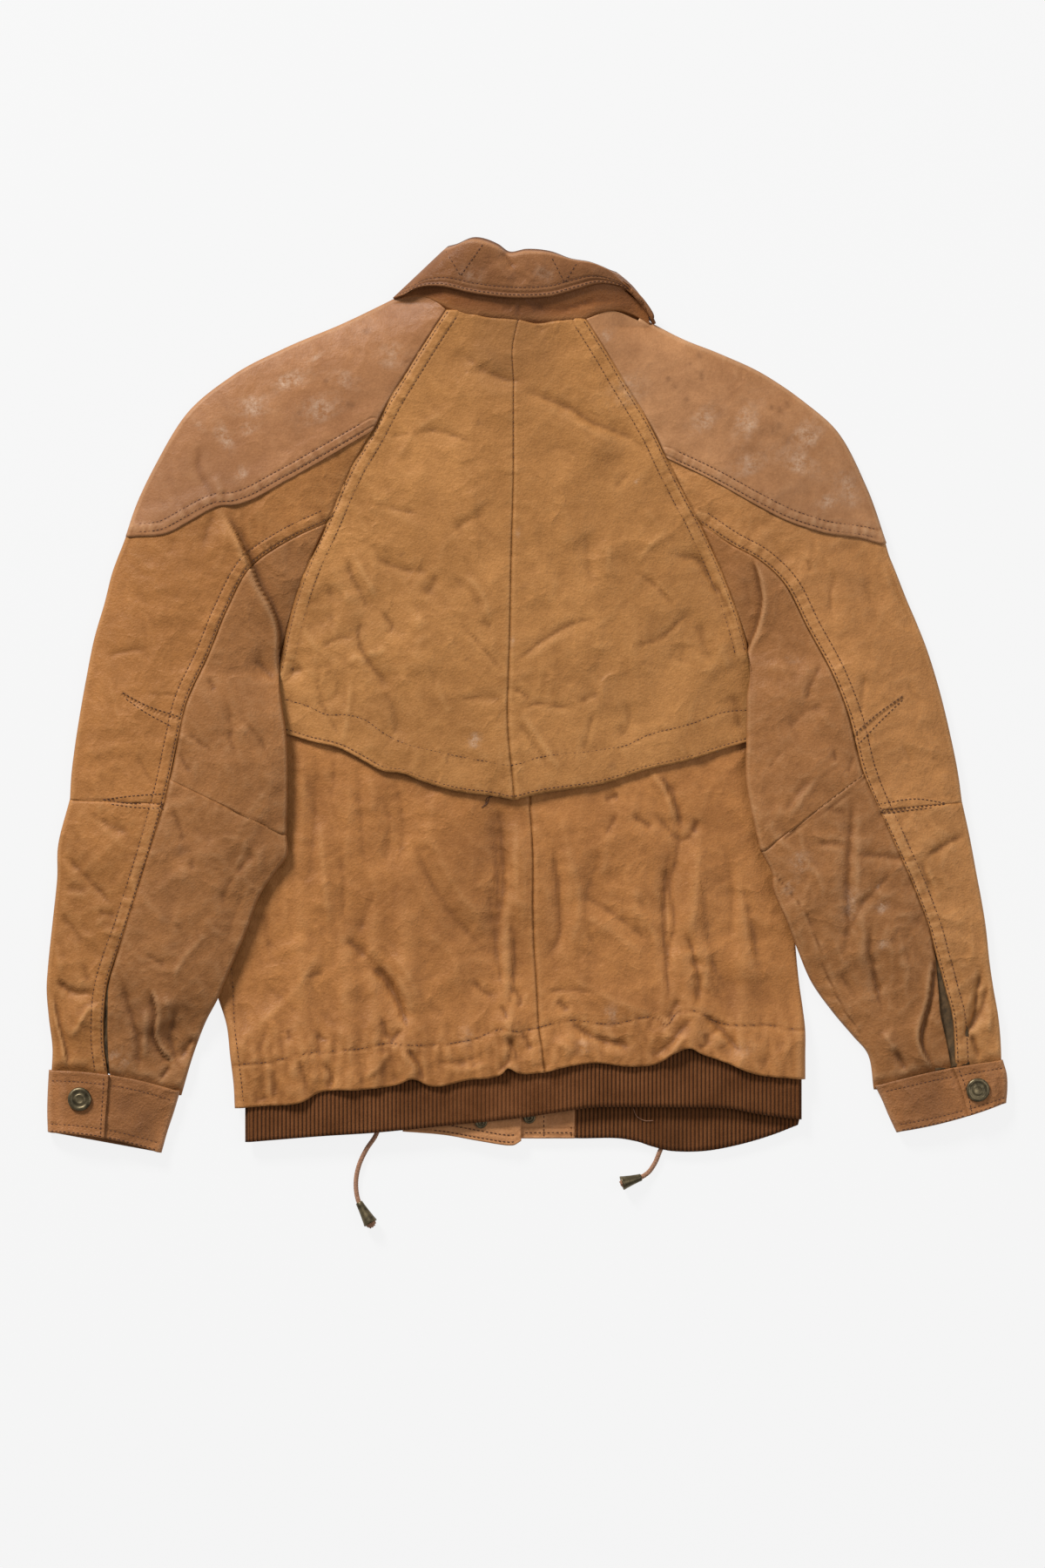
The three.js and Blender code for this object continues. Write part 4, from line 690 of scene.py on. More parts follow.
class Sleeve:
    """One sleeve's lines, with the heights of its top and underside."""

    def __init__(self, side, raglan, shoulder, upper_fold, lower_fold, upper_seam, lower_seam, slit,
                 upper_inner, lower_inner, elbow, patch_edge, inner, base, overlap, strokes, laps,
                 cuff_top):
        self.side = side
        self.sign = 1 if side == "left" else -1
        self.raglan, self.shoulder = raglan, shoulder
        self.upper_fold, self.lower_fold = upper_fold, lower_fold
        self.upper_seam, self.lower_seam, self.slit = upper_seam, lower_seam, slit
        self.upper_inner, self.lower_inner, self.elbow = upper_inner, lower_inner, elbow
        self.patch_edge = photo(patch_edge)
        self.outer_x = across(shoulder + upper_fold + lower_fold)
        self.inner_x = across(raglan + upper_inner + lower_inner)
        self.inner_height, self.base, self.overlap = through(inner), through(base), through(overlap)
        self.strokes, self.laps = strokes, laps
        self.raglan_line = smooth(raglan)
        self.seam_line = smooth([raglan[9]] + upper_seam[:-1] + lower_seam[1:])
        self.patch_line = smooth(self.patch_edge)
        self.seed = 50 if side == "left" else 70
        self.cuff_top = through(cuff_top)

    def top(self, x, y):
        share = clamp((x - self.outer_x(y)) / (self.inner_x(y) - self.outer_x(y)))
        level = mix(2 * SLEEVE_FOLD, self.inner_height(y), share ** 1.5)
        return level + sleeve_loft(y) * hump(share) ** 0.8, share

    def surface(self, x, y):
        base, share = self.top(x, y)
        gathered = ease(-195, -255, y)
        relief = (1.5 + 1.3 * gathered) * creases(x, y, self.strokes)
        relief = relief + (1 + 0.9 * gathered) * folds(x, y, self.laps)
        relief = relief + (1.05 + 0.5 * ease(60, -200, y)) * crumple(x, y, self.seed)
        relief = relief * ease(0.0, 0.08, share)
        relief += strip(x, y, self.seam_line, -self.sign, STRIP_NEAR, STRIP_FAR, rise=0.6,
                        seed=self.seed + 1)
        relief += groove(x, y, self.seam_line) + groove(x, y, self.raglan_line)
        base = base - CUFF_DRAW_IN * ease(9, -2, y - self.cuff_top(x))
        for line in self.cross_seams():
            relief += row_dent(x, y, line, depth=0.9, width=0.8, pucker=0.2, reach=5, seed=self.seed + 3)
        return base + relief

    def patch(self, x, y):
        base, share = self.top(x, y)
        order = np.argsort(self.patch_edge[:, 0])
        lap = np.interp(x, self.patch_edge[order, 0], self.patch_edge[order, 1])
        relief = creases(x, y, self.strokes) + 0.6 * crumple(x, y, self.seed + 7)
        relief = relief * ease(0.0, 0.06, share)
        relief += strip(x, y, self.patch_line, -self.sign, 3, 10, rise=0.5, seed=self.seed + 8)
        relief += groove(x, y, self.raglan_line)
        return base + relief + PATCH_LIFT * (1 - ease(10, 30, y - lap))

    def under(self, x, y):
        inside = np.abs(x - self.inner_x(y))
        reach = self.overlap(y)
        return np.maximum(0, self.base(y)) * (1 - ease(reach, reach + 18, inside))

    def cross_seams(self):
        return [smooth(photo(line)) for line in CROSS_SEAMS[self.side]]


# Plain cross seams, and the rows of stitches round the elbow darts, in photo pixels
CROSS_SEAMS = {
    "left": [[(81, 918), (119, 918), (192, 926)], [(197, 897), (257, 926), (300, 943), (332, 962)],
             [(142, 797), (168, 812), (208, 826)]],
    "right": [[(1106, 922), (1060, 927), (1009, 933)], [(993, 891), (974, 909), (927, 943), (870, 980)],
              [(1036, 801), (1006, 824), (980, 846)],
              [(890, 1004), (928, 1054), (949, 1117), (973, 1165), (988, 1186)]],
}
DART_ROWS = {
    "left": [[(141, 795), (167, 809), (207, 823)], [(145, 802), (168, 818), (198, 834)],
             [(118, 918), (150, 914), (192, 911)], [(119, 918), (150, 922), (190, 923)],
             [(128, 923), (160, 927), (190, 928)]],
    "right": [[(1036, 799), (1006, 820), (981, 842)], [(1036, 803), (1008, 830), (986, 853)],
              [(1085, 922), (1052, 917), (1008, 923)], [(1085, 923), (1052, 926), (1010, 930)],
              [(1070, 927), (1044, 930), (1012, 934)]],
}

left_sleeve = Sleeve(
    "left", RAGLAN_LEFT, SHOULDER_FOLD_LEFT, UPPER_FOLD_LEFT, LOWER_FOLD_LEFT, UPPER_SEAM_LEFT,
    LOWER_SEAM_LEFT, SLIT_LEFT, UPPER_INNER_LEFT, LOWER_INNER_LEFT, (-302.5, -56), PATCH_EDGE_LEFT,
    inner=[(-339, 8.5), (-290, 9), (-272, 12), (-258, 16), (-219, 16.8), (-181, 17.2), (-136, 18.5),
           (-39, 18.5), (-10, 18), (10, 14), (23, 9.5), (53, 9.8), (114, 12), (149, 14), (239, 19),
           (331, 23)],
    base=[(-295, 0), (-272, 4), (-258, 8), (-219, 8.8), (-181, 9.2), (-136, 10), (-39, 10.3), (-10, 9.6),
          (8, 6), (23, 0)],
    overlap=[(-270, 4), (-255, 8), (-219, 30), (-181, 41), (-136, 55), (-84, 34), (-31, 11), (10, 6)],
    strokes=LEFT_CREASES, laps=LEFT_FOLDS,
    cuff_top=[(-411, -322.6), (-383, -323.5), (-354.5, -327), (-326, -332.5), (-298, -341)])
right_sleeve = Sleeve(
    "right", RAGLAN_RIGHT, SHOULDER_FOLD_RIGHT, UPPER_FOLD_RIGHT, LOWER_FOLD_RIGHT, UPPER_SEAM_RIGHT,
    LOWER_SEAM_RIGHT, SLIT_RIGHT, UPPER_INNER_RIGHT, LOWER_INNER_RIGHT, (283.3, -45), PATCH_EDGE_RIGHT,
    inner=[(-333, 8.5), (-250, 9), (-235, 11.5), (-215, 14.5), (-181, 16.5), (-136, 18), (-39, 18.5),
           (0, 17.5), (20, 14), (39, 9.5), (65, 10), (113, 12), (149, 14), (239, 19), (323, 23)],
    base=[(-255, 0), (-235, 3), (-215, 6.2), (-181, 8.2), (-136, 9.2), (-39, 10.3), (0, 9.4), (20, 6),
          (39, 0)],
    overlap=[(-240, 4), (-219, 5), (-181, 18), (-136, 29), (-84, 31), (-31, 17), (10, 6)],
    strokes=RIGHT_CREASES, laps=RIGHT_FOLDS,
    cuff_top=[(300, -336.2), (327, -329), (355, -322.4), (383, -317), (410, -313.6)])


# Meshes
def place(points):
    """Millimetres of the drawing as metres in the part's frame."""
    moved = np.array(points, float).reshape(-1, 3)
    moved[:, :2] += FRAME_SHIFT
    return moved * METRES


def make_mesh(name, points, quads, triangles, material, values=None):
    """An object from points, faces and one number a point for each named attribute."""
    mesh = bpy.data.meshes.new(name)
    quads = np.asarray(quads, int).reshape(-1, 4)
    triangles = np.asarray(triangles, int).reshape(-1, 3)
    corners = np.concatenate([quads.ravel(), triangles.ravel()])
    totals = np.concatenate([np.full(len(quads), 4), np.full(len(triangles), 3)])
    starts = np.concatenate([[0], np.cumsum(totals)[:-1]])
    mesh.vertices.add(len(points))
    mesh.vertices.foreach_set("co", place(points).astype(np.float32).ravel())
    mesh.loops.add(len(corners))
    mesh.loops.foreach_set("vertex_index", corners.astype(np.int32))
    mesh.polygons.add(len(totals))
    mesh.polygons.foreach_set("loop_start", starts.astype(np.int32))
    mesh.polygons.foreach_set("loop_total", totals.astype(np.int32))
    mesh.polygons.foreach_set("use_smooth", np.ones(len(totals), bool))
    for key, numbers in (values or {}).items():
        attribute = mesh.attributes.new(key, "FLOAT", "POINT")
        attribute.data.foreach_set("value", np.asarray(numbers, np.float32).ravel())
    mesh.materials.append(material)
    mesh.update()
    mesh.validate()
    piece = bpy.data.objects.new(name, mesh)
    bpy.context.scene.collection.objects.link(piece)
    return piece


def grid_normals(grid):
    down = np.gradient(grid, axis=0)
    along = np.gradient(grid, axis=1)
    normal = np.cross(along, down)
    size = np.linalg.norm(normal, axis=2, keepdims=True)
    return normal / np.maximum(size, 1e-9)


def soften(values, passes):
    """Averages each value with its neighbours, again and again."""
    for _ in range(passes):
        padded = np.pad(values, 1, mode="edge")
        around = padded[:-2, 1:-1] + padded[2:, 1:-1] + padded[1:-1, :-2] + padded[1:-1, 2:]
        values = (around + 2 * values) / 6
    return values


def wear_and_shade_of(grid, relief_height):
    """How hollow (for painted shade) and how proud each point is, and the scuffs, stains and painted shade on
    it.
    """
    near = relief_height - soften(relief_height, 2)
    wide = relief_height - soften(relief_height, 9)
    shape = 1.6 * near + 0.45 * wide
    x, y = grid[..., 0], grid[..., 1]
    return {"hollow": clamp(-shape), "crest": clamp(shape),
            "scuff": clamp(creases(x, y, SCUFFS)), "stain_and_shade": clamp(creases(x, y, STAINS_AND_SHADE))}


def shell(name, grid, thickness, material, facing=1, heights=None, smooth_passes=3):
    """A closed wall whose outer face is the grid; facing is the sign of its first normal's z."""
    rows, columns = grid.shape[:2]
    calm = np.stack([soften(grid[..., k], smooth_passes) for k in range(3)], axis=2)
    normal = grid_normals(calm)
    sign = 1 if np.sign(normal[rows // 2, 0, 2]) == facing else -1
    inner = grid - sign * thickness * normal
    index = np.arange(rows * columns).reshape(rows, columns)
    under = index + rows * columns
    a, b, c, d = index[:-1, :-1], index[:-1, 1:], index[1:, 1:], index[1:, :-1]
    outer_faces = np.stack([a, b, c, d], axis=-1).reshape(-1, 4)
    inner_faces = (outer_faces + rows * columns)[:, ::-1]
    rims = []
    for one, two in ((index[0], under[0]), (index[-1, ::-1], under[-1, ::-1]),
                     (index[::-1, 0], under[::-1, 0]), (index[:, -1], under[:, -1])):
        rims.append(np.stack([one[:-1], two[:-1], two[1:], one[1:]], axis=-1))
    faces = np.concatenate([outer_faces, inner_faces] + rims)
    if sign < 0:
        faces = faces[:, ::-1]
    values = wear_and_shade_of(grid, grid[..., 2] if heights is None else heights)
    doubled = {key: np.concatenate([value.ravel(), value.ravel()]) for key, value in values.items()}
    points = np.concatenate([grid.reshape(-1, 3), inner.reshape(-1, 3)])
    return make_mesh(name, points, faces, [], material, doubled)


def lift(plan, height):
    """A flat grid of x and y raised to a surface."""
    return np.dstack([plan, height(plan[..., 0], plan[..., 1])])


def outward(fold, seam):
    """Unit directions square to a fold line, away from the seam."""
    along = np.gradient(fold, axis=0)
    square = np.stack([-along[:, 1], along[:, 0]], axis=1)
    square /= np.linalg.norm(square, axis=1)[:, None]
    away = np.sum(square * (fold - seam), axis=1)
    return square * np.sign(away)[:, None]


def round_fold(start, out, radius, top, bottom, steps=8):
    """Columns of points round a fold from its top to its underside."""
    angle = np.linspace(np.pi / 2, -np.pi / 2, steps + 1)[None, 1:-1]
    reach = radius[:, None] * np.cos(angle)
    z = (top + bottom)[:, None] / 2 + (top - bottom)[:, None] / 2 * np.sin(angle)
    return np.stack([start[:, :1] + out[:, :1] * reach, start[:, 1:] + out[:, 1:] * reach, z], axis=2)


def folded(fold, seam, radius, surface, top_edge=None, bottom_edge=None, turn=None, under_columns=8):
    """From a seam over the top, out round the fold, and back underneath on the floor."""
    rows = int(max(lengths(np.asarray(fold))[-1], lengths(np.asarray(seam))[-1]) / GRAIN)
    fold_rail, seam_rail = rails(fold, seam, rows)
    out = outward(fold_rail, seam_rail)
    r = radius(fold_rail[:, 1]) if callable(radius) else np.full(rows, float(radius))
    start = fold_rail - out * r[:, None]
    plan = net(seam_rail, start, top_edge, bottom_edge)
    upper = lift(plan, surface)
    last = plan[:, -1]
    arc = round_fold(last, out, r, upper[:, -1, 2], np.zeros(rows))
    end = fold_rail - out * turn if turn else seam_rail
    t = np.linspace(0, 1, under_columns + 1)[None, :, None]
    floor_plan = mix(last[:, None], end[:, None], t)
    lower = np.dstack([floor_plan, np.zeros(floor_plan.shape[:2])])
    return np.concatenate([upper, arc, lower], axis=1)


# Materials
def node(tree, kind, **inputs):
    made = tree.nodes.new(kind)
    for key, value in inputs.items():
        made.inputs[key.replace("_", " ")].default_value = value
    return made


def blend(tree, factor, one, two, mode="MIX"):
    """A colour mix; each of factor, one and two is a socket or a value."""
    made = tree.nodes.new("ShaderNodeMix")
    made.data_type = "RGBA"
    made.blend_type = mode
    for slot, value in ((0, factor), (6, one), (7, two)):
        if isinstance(value, bpy.types.NodeSocket):
            tree.links.new(value, made.inputs[slot])
        else:
            made.inputs[slot].default_value = value
    return made.outputs[2]


def maths(tree, operation, one, two):
    made = tree.nodes.new("ShaderNodeMath")
    made.operation = operation
    made.use_clamp = True
    for slot, value in ((0, one), (1, two)):
        if isinstance(value, bpy.types.NodeSocket):
            tree.links.new(value, made.inputs[slot])
        else:
            made.inputs[slot].default_value = value
    return made.outputs[0]


def attribute(tree, name):
    made = tree.nodes.new("ShaderNodeAttribute")
    made.attribute_name = name
    return made.outputs["Fac"]


def texture_noise(tree, place_socket, scale, detail, roughness=0.6):
    made = node(tree, "ShaderNodeTexNoise", Scale=scale, Detail=detail, Roughness=roughness)
    tree.links.new(place_socket, made.inputs["Vector"])
    return made.outputs["Fac"]


def spread(tree, socket, low, high):
    """Stretches the given range of a value to 0 and 1."""
    made = node(tree, "ShaderNodeMapRange")
    made.inputs["From Min"].default_value = low
    made.inputs["From Max"].default_value = high
    tree.links.new(socket, made.inputs["Value"])
    return made.outputs["Result"]


def start_material(name):
    material = bpy.data.materials.new(name)
    material.use_nodes = True
    tree = material.node_tree
    shader = tree.nodes["Principled BSDF"]
    coordinates = tree.nodes.new("ShaderNodeTexCoord").outputs["Object"]
    return material, tree, shader, coordinates


def set_bump(tree, shader, height, strength, distance):
    bump = node(tree, "ShaderNodeBump", Strength=strength, Distance=distance)
    tree.links.new(height, bump.inputs["Height"])
    tree.links.new(bump.outputs["Normal"], shader.inputs["Normal"])


def leather(name, dark, light, pale, roughness=0.5, hollow=0.6, scuffed=0.6, crinkle=0.75):
    """Worn leather: mottled between two tones, darker in its hollows (painted shade with some grime), pale on
    its crests and scuffs.
    """
    material, tree, shader, coordinates = start_material(name)
    broad = spread(tree, texture_noise(tree, coordinates, 13, 4), 0.3, 0.7)
    middle = spread(tree, texture_noise(tree, coordinates, 55, 6, 0.62), 0.22, 0.78)
    streak = spread(tree, texture_noise(tree, coordinates, 150, 6, 0.75), 0.4, 0.62)
    fine = spread(tree, texture_noise(tree, coordinates, 420, 3), 0.25, 0.75)
    tone = maths(tree, "ADD", maths(tree, "MULTIPLY", broad, 0.5), maths(tree, "MULTIPLY", middle, 0.5))
    colour = blend(tree, tone, (*dark, 1), (*light, 1))
    speck = blend(tree, fine, (0.88, 0.87, 0.86, 1), (1.08, 1.08, 1.08, 1))
    colour = blend(tree, 1.0, colour, speck, "MULTIPLY")
    # The hollows darken towards this colour: painted shade with some grime.
    shade = tuple(c * k for c, k in zip(dark, (0.42, 0.36, 0.32)))
    colour = blend(tree, maths(tree, "MULTIPLY", attribute(tree, "hollow"), hollow), colour, (*shade, 1))
    colour = blend(tree, maths(tree, "MULTIPLY", attribute(tree, "crest"), 0.4), colour, (*pale, 1))
    # Dark stains, with painted shade where a mark lies in a fold's shadow.
    stain_and_shade_mask = maths(tree, "MULTIPLY", attribute(tree, "stain_and_shade"), spread(tree, middle, -0.4, 0.9))
    colour = blend(tree, maths(tree, "MULTIPLY", stain_and_shade_mask, 0.75), colour, (0.11, 0.045, 0.018, 1))
    rubbed = maths(tree, "MULTIPLY", attribute(tree, "scuff"), streak)
    colour = blend(tree, maths(tree, "MULTIPLY", rubbed, scuffed), colour, (0.66, 0.5, 0.37, 1))
    warp = node(tree, "ShaderNodeTexNoise", Scale=24.0, Detail=3.0)
    tree.links.new(coordinates, warp.inputs["Vector"])
    bent = tree.nodes.new("ShaderNodeVectorMath")
    bent.operation = "MULTIPLY_ADD"
    bent.inputs[1].default_value = (0.03, 0.03, 0.03)
    tree.links.new(warp.outputs["Color"], bent.inputs[0])
    tree.links.new(coordinates, bent.inputs[2])
    ridges = node(tree, "ShaderNodeTexNoise", Scale=17.0, Detail=5.0, Roughness=0.55)
    ridges.noise_type = "RIDGED_MULTIFRACTAL"
    ridges.inputs["Offset"].default_value = 0.85
    ridges.inputs["Gain"].default_value = 1.6
    tree.links.new(bent.outputs["Vector"], ridges.inputs["Vector"])
    worn_ridges = spread(tree, ridges.outputs["Fac"], 0.2, 2.4)
    colour = blend(tree, 1.0, colour,
                   blend(tree, worn_ridges, (0.9, 0.885, 0.87, 1), (1.06, 1.065, 1.07, 1)), "MULTIPLY")
    tree.links.new(colour, shader.inputs["Base Color"])
    cells = node(tree, "ShaderNodeTexVoronoi", Scale=620.0)
    tree.links.new(coordinates, cells.inputs["Vector"])
    pores = maths(tree, "ADD", maths(tree, "MULTIPLY", cells.outputs["Distance"], 0.05),
                  maths(tree, "MULTIPLY", fine, 0.07))
    skin = maths(tree, "ADD", pores, maths(tree, "MULTIPLY", worn_ridges, 0.75))
    set_bump(tree, shader, skin, crinkle, 0.0042)
    gloss = node(tree, "ShaderNodeMapRange")
    gloss.inputs["To Min"].default_value = roughness + 0.12
    gloss.inputs["To Max"].default_value = roughness - 0.08
    tree.links.new(middle, gloss.inputs["Value"])
    tree.links.new(gloss.outputs["Result"], shader.inputs["Roughness"])
    shader.inputs["Specular IOR Level"].default_value = 0.16
    return material


def plain(name, dark, light, roughness, scale, metallic=0.0, bump=0.0):
    """A mottled finish for thread, cord, lining and metal."""
    material, tree, shader, coordinates = start_material(name)
    tone = spread(tree, texture_noise(tree, coordinates, scale, 5), 0.3, 0.7)
    tree.links.new(blend(tree, tone, (*dark, 1), (*light, 1)), shader.inputs["Base Color"])
    shader.inputs["Roughness"].default_value = roughness
    shader.inputs["Metallic"].default_value = metallic
    if bump:
        set_bump(tree, shader, tone, bump, 0.0006)
    return material


def knit(name, dark, light):
    """Ribbed knit: dark between its ribs (painted shade), with small loops along them."""
    material, tree, shader, coordinates = start_material(name)
    broad = spread(tree, texture_noise(tree, coordinates, 40, 4), 0.3, 0.7)
    fuzz = spread(tree, texture_noise(tree, coordinates, 900, 4), 0.25, 0.75)
    colour = blend(tree, broad, (*dark, 1), (*light, 1))
    # Painted shade between the ribs.
    colour = blend(tree, maths(tree, "MULTIPLY", attribute(tree, "hollow"), 0.95), colour,
                   (0.018, 0.008, 0.004, 1))
    colour = blend(tree, maths(tree, "MULTIPLY", fuzz, 0.25), colour, (0.2, 0.08, 0.03, 1))
    tree.links.new(colour, shader.inputs["Base Color"])
    set_bump(tree, shader, fuzz, 0.6, 0.0008)
    shader.inputs["Roughness"].default_value = 0.95
    shader.inputs["Specular IOR Level"].default_value = 0.05
    shader.inputs["Sheen Weight"].default_value = 0.03
    return material


cape_leather = leather("cape_leather", (0.29, 0.122, 0.033), (0.51, 0.236, 0.075), (0.62, 0.33, 0.13))
lower_leather = leather("lower_leather", (0.26, 0.1, 0.027), (0.5, 0.213, 0.064), (0.62, 0.31, 0.12))
sleeve_leather = leather("sleeve_leather", (0.25, 0.1, 0.027), (0.45, 0.192, 0.058), (0.58, 0.3, 0.12))
# A brighter copy of the sleeve leather for the right sleeve: painted light.
lit_sleeve_leather = leather("lit_sleeve_leather", (0.3, 0.128, 0.038), (0.54, 0.246, 0.082),
                              (0.64, 0.35, 0.15))
inner_leather = leather("inner_sleeve_leather", (0.23, 0.095, 0.03), (0.39, 0.168, 0.057),
                        (0.52, 0.29, 0.14))
patch_leather = leather("patch_leather", (0.24, 0.098, 0.037), (0.42, 0.197, 0.085), (0.58, 0.34, 0.18),
                        0.45, 0.55, 0.75, 0.4)
# A brighter copy of the patch leather for the right patch: painted light.
lit_patch_leather = leather("lit_patch_leather", (0.26, 0.112, 0.043), (0.48, 0.236, 0.105),
                             (0.62, 0.37, 0.2), 0.45, 0.55, 0.75, 0.4)
collar_leather = leather("collar_leather", (0.15, 0.056, 0.019), (0.3, 0.13, 0.05), (0.46, 0.24, 0.12),
                         0.45)
stand_leather = leather("stand_leather", (0.147, 0.048, 0.013), (0.294, 0.112, 0.033),
                        (0.451, 0.206, 0.079), 0.45)
cuff_leather = leather("cuff_leather", (0.17, 0.066, 0.021), (0.47, 0.2, 0.072), (0.5, 0.28, 0.15), 0.42,
                       0.6, 0.6, 1.1)
tab_leather = leather("tab_leather", (0.38, 0.16, 0.062), (0.62, 0.29, 0.12), (0.7, 0.42, 0.22), 0.4)
rib_knit = knit("rib_knit", (0.11, 0.037, 0.011), (0.2, 0.074, 0.026))
thread = plain("brown_thread", (0.05, 0.018, 0.008), (0.12, 0.045, 0.02), 0.8, 300)
brass = plain("antique_brass", (0.045, 0.036, 0.02), (0.2, 0.155, 0.085), 0.42, 160, 0.8, 0.15)
lining = plain("lining_cloth", (0.026, 0.016, 0.005), (0.14, 0.075, 0.026), 0.9, 120, 0.0, 0.5)
cord_cloth = plain("cord_cloth", (0.2, 0.09, 0.045), (0.42, 0.22, 0.13), 0.85, 700, 0.0, 0.6)


def keep(piece, slot, *nodes):
    """Makes a piece ride on the jacket, in the place of the named solids."""
    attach(piece, "root")
    if nodes:
        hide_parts(*nodes)
    return piece


def panel(name, grid, material, slot="tan_leather", thickness=LEATHER, facing=1):
    return keep(shell(name + "_shell", grid, thickness, material, facing), slot, name)


# The back cape
def cape_half(name, left, right, top, bottom, first, second):
    rows = int(lengths(np.asarray(right))[-1] / GRAIN)
    rail = rails(left, right, rows)
    plan = net(rail[0] + (first, 0), rail[1] - (second, 0), photo(top), photo(bottom))
    return panel(name, lift(plan, cape_surface), cape_leather)


cape_rows = [0, 1, 2, 3, 7, 8, 9, 10, 11, 12, 13]
cape_half("cape_left", [RAGLAN_LEFT[i] for i in cape_rows] + CAPE_SIDE_LEFT, CAPE_CENTRE, NECK_LEFT,
          CAPE_HEM_LEFT, -SEAM_LAP, 0.0)
cape_half("cape_right", CAPE_CENTRE, [RAGLAN_RIGHT[i] for i in cape_rows] + CAPE_SIDE_RIGHT, NECK_RIGHT,
          CAPE_HEM_RIGHT, 0.0, -SEAM_LAP)

# The lower back
for name, side, hem, shift in (("lower_back_left", SIDE_LEFT, HEM_LEFT, 0.0),
                               ("lower_back_right", SIDE_RIGHT, HEM_RIGHT, 0.0)):
    centre = [(x + shift, y) for x, y in LOWER_CENTRE]
    grid = folded(side, centre, side_fold, lower_surface, bottom_edge=photo(hem), turn=SIDE_TURN,
                  under_columns=3)
    panel(name, grid, lower_leather)


# The sleeves
def raised(point):
    return (point[0], point[1] + 0.6 + SEAM_LAP)


def tucked_in(point):
    return (point[0], point[1] - CUFF_TUCK)


def sleeve_pieces(arm):
    raglan, sign, side = arm.raglan, arm.sign, arm.side
    corner = raglan[9]
    patch_seam = [(x - sign * SEAM_HALF_GAP, y) for x, y in raglan[:8]]
    tip = (arm.shoulder[0][0] + sign * NECK_TUCK, arm.shoulder[0][1] + 0.8 * NECK_TUCK)
    neck = [raglan[0], ((raglan[0][0] + tip[0]) / 2, (raglan[0][1] + tip[1]) / 2 + 0.7 * NECK_TUCK), tip]
    grid = folded([tip] + arm.shoulder[1:], patch_seam, SLEEVE_FOLD, arm.patch, np.array(neck, float),
                  arm.patch_edge)
    shoulder, outer = patch_leather, sleeve_leather
    # The right arm takes the brighter copies, painted light.
    if side == "right":
        shoulder, outer = lit_patch_leather, lit_sleeve_leather
    panel(f"shoulder_patch_{side}", grid, shoulder, "shoulder_leather")

    tucked = arm.patch_edge + (0, 7)
    lap = (raglan[7][0] + sign * 3, raglan[7][1] + 6)
    upper_seam = [lap, raglan[8], corner] + arm.upper_seam
    upper_seam = [(x - sign * SEAM_HALF_GAP, y) for x, y in upper_seam]
    upper_fold = [(arm.upper_fold[0][0] + sign * 2, arm.upper_fold[0][1] + 5)] + arm.upper_fold[1:]
    grid = folded(upper_fold, upper_seam, SLEEVE_FOLD, arm.surface, tucked)
    panel(f"sleeve_outer_upper_{side}", grid, outer)
    lower_fold = [raised(arm.lower_fold[0])] + arm.lower_fold[1:-1] + [tucked_in(arm.lower_fold[-1])]
    lower_seam = [raised(arm.lower_seam[0])] + arm.lower_seam[1:-1] + [tucked_in(arm.lower_seam[-1])]
    grid = folded(lower_fold, lower_seam, SLEEVE_FOLD, arm.surface)
    panel(f"sleeve_outer_lower_{side}", grid, outer)

    seam = beside([corner] + arm.upper_seam, sign * SEAM_HALF_GAP)
    near = mix(seam[0], seam[1], 0.06)
    by = mix(np.array(corner, float), np.array(raglan[10], float), 0.06)
    upper_left = [near, *seam[1:7], np.array(arm.elbow), seam[7]]
    inset = [(x - sign * SLEEVE_FOLD, y) for x, y in arm.upper_inner]
    upper_right = [by] + [(x - sign * SEAM_HALF_GAP, y) for x, y in raglan[10:14]] + inset
    panel(f"sleeve_inner_upper_{side}", inner_panel(arm, upper_left, upper_right), inner_leather)
    sewn = [(x - sign * SEAM_LAP, y) for x, y in arm.lower_seam[:4]]
    lower_left = [upper_left[-1] + (0, SEAM_LAP)] + sewn + arm.slit[4:-1] + [tucked_in(arm.slit[-1])]
    lower_right = [(x - sign * SLEEVE_FOLD, y) for x, y in arm.lower_inner]
    lower_right[0] = raised(lower_right[0])
    lower_right[-1] = tucked_in(lower_right[-1])
    panel(f"sleeve_inner_lower_{side}", inner_panel(arm, lower_left, lower_right), inner_leather)

    front_left = upper_left + list(beside(arm.lower_seam, sign * 0.5))
    front_right = upper_right + lower_right[1:]
    rows = int(lengths(np.asarray(front_right))[-1] / 5)
    one, two = rails(front_left, front_right, rows)
    plan = net(one, two, grain=6)
    panel(f"sleeve_front_{side}", lift(plan, arm.under), sleeve_leather, facing=-1)


def inner_panel(arm, left, right):
    """An inner sleeve panel; below the armpit it goes round the fold to the underside."""
    rows = int(max(lengths(np.asarray(left))[-1], lengths(np.asarray(right))[-1]) / GRAIN)
    one, two = rails(left, right, rows)
    upper = lift(net(one, two), arm.surface)
    below = ease(22, -6, two[:, 1])
    under = mix(upper[:, -1, 2], arm.under(two[:, 0], two[:, 1]), below)
    out = np.tile((float(arm.sign), 0.0), (rows, 1))
    arc = round_fold(two, out, SLEEVE_FOLD * below + 0.02, upper[:, -1, 2], under)
    return np.concatenate([upper, arc[:, :6]], axis=1)


sleeve_pieces(left_sleeve)
sleeve_pieces(right_sleeve)


# The fronts, flat on the floor, with the turned hem that holds the cord
FRONT_HEM_Y = -364
FRONT_CASING = 4


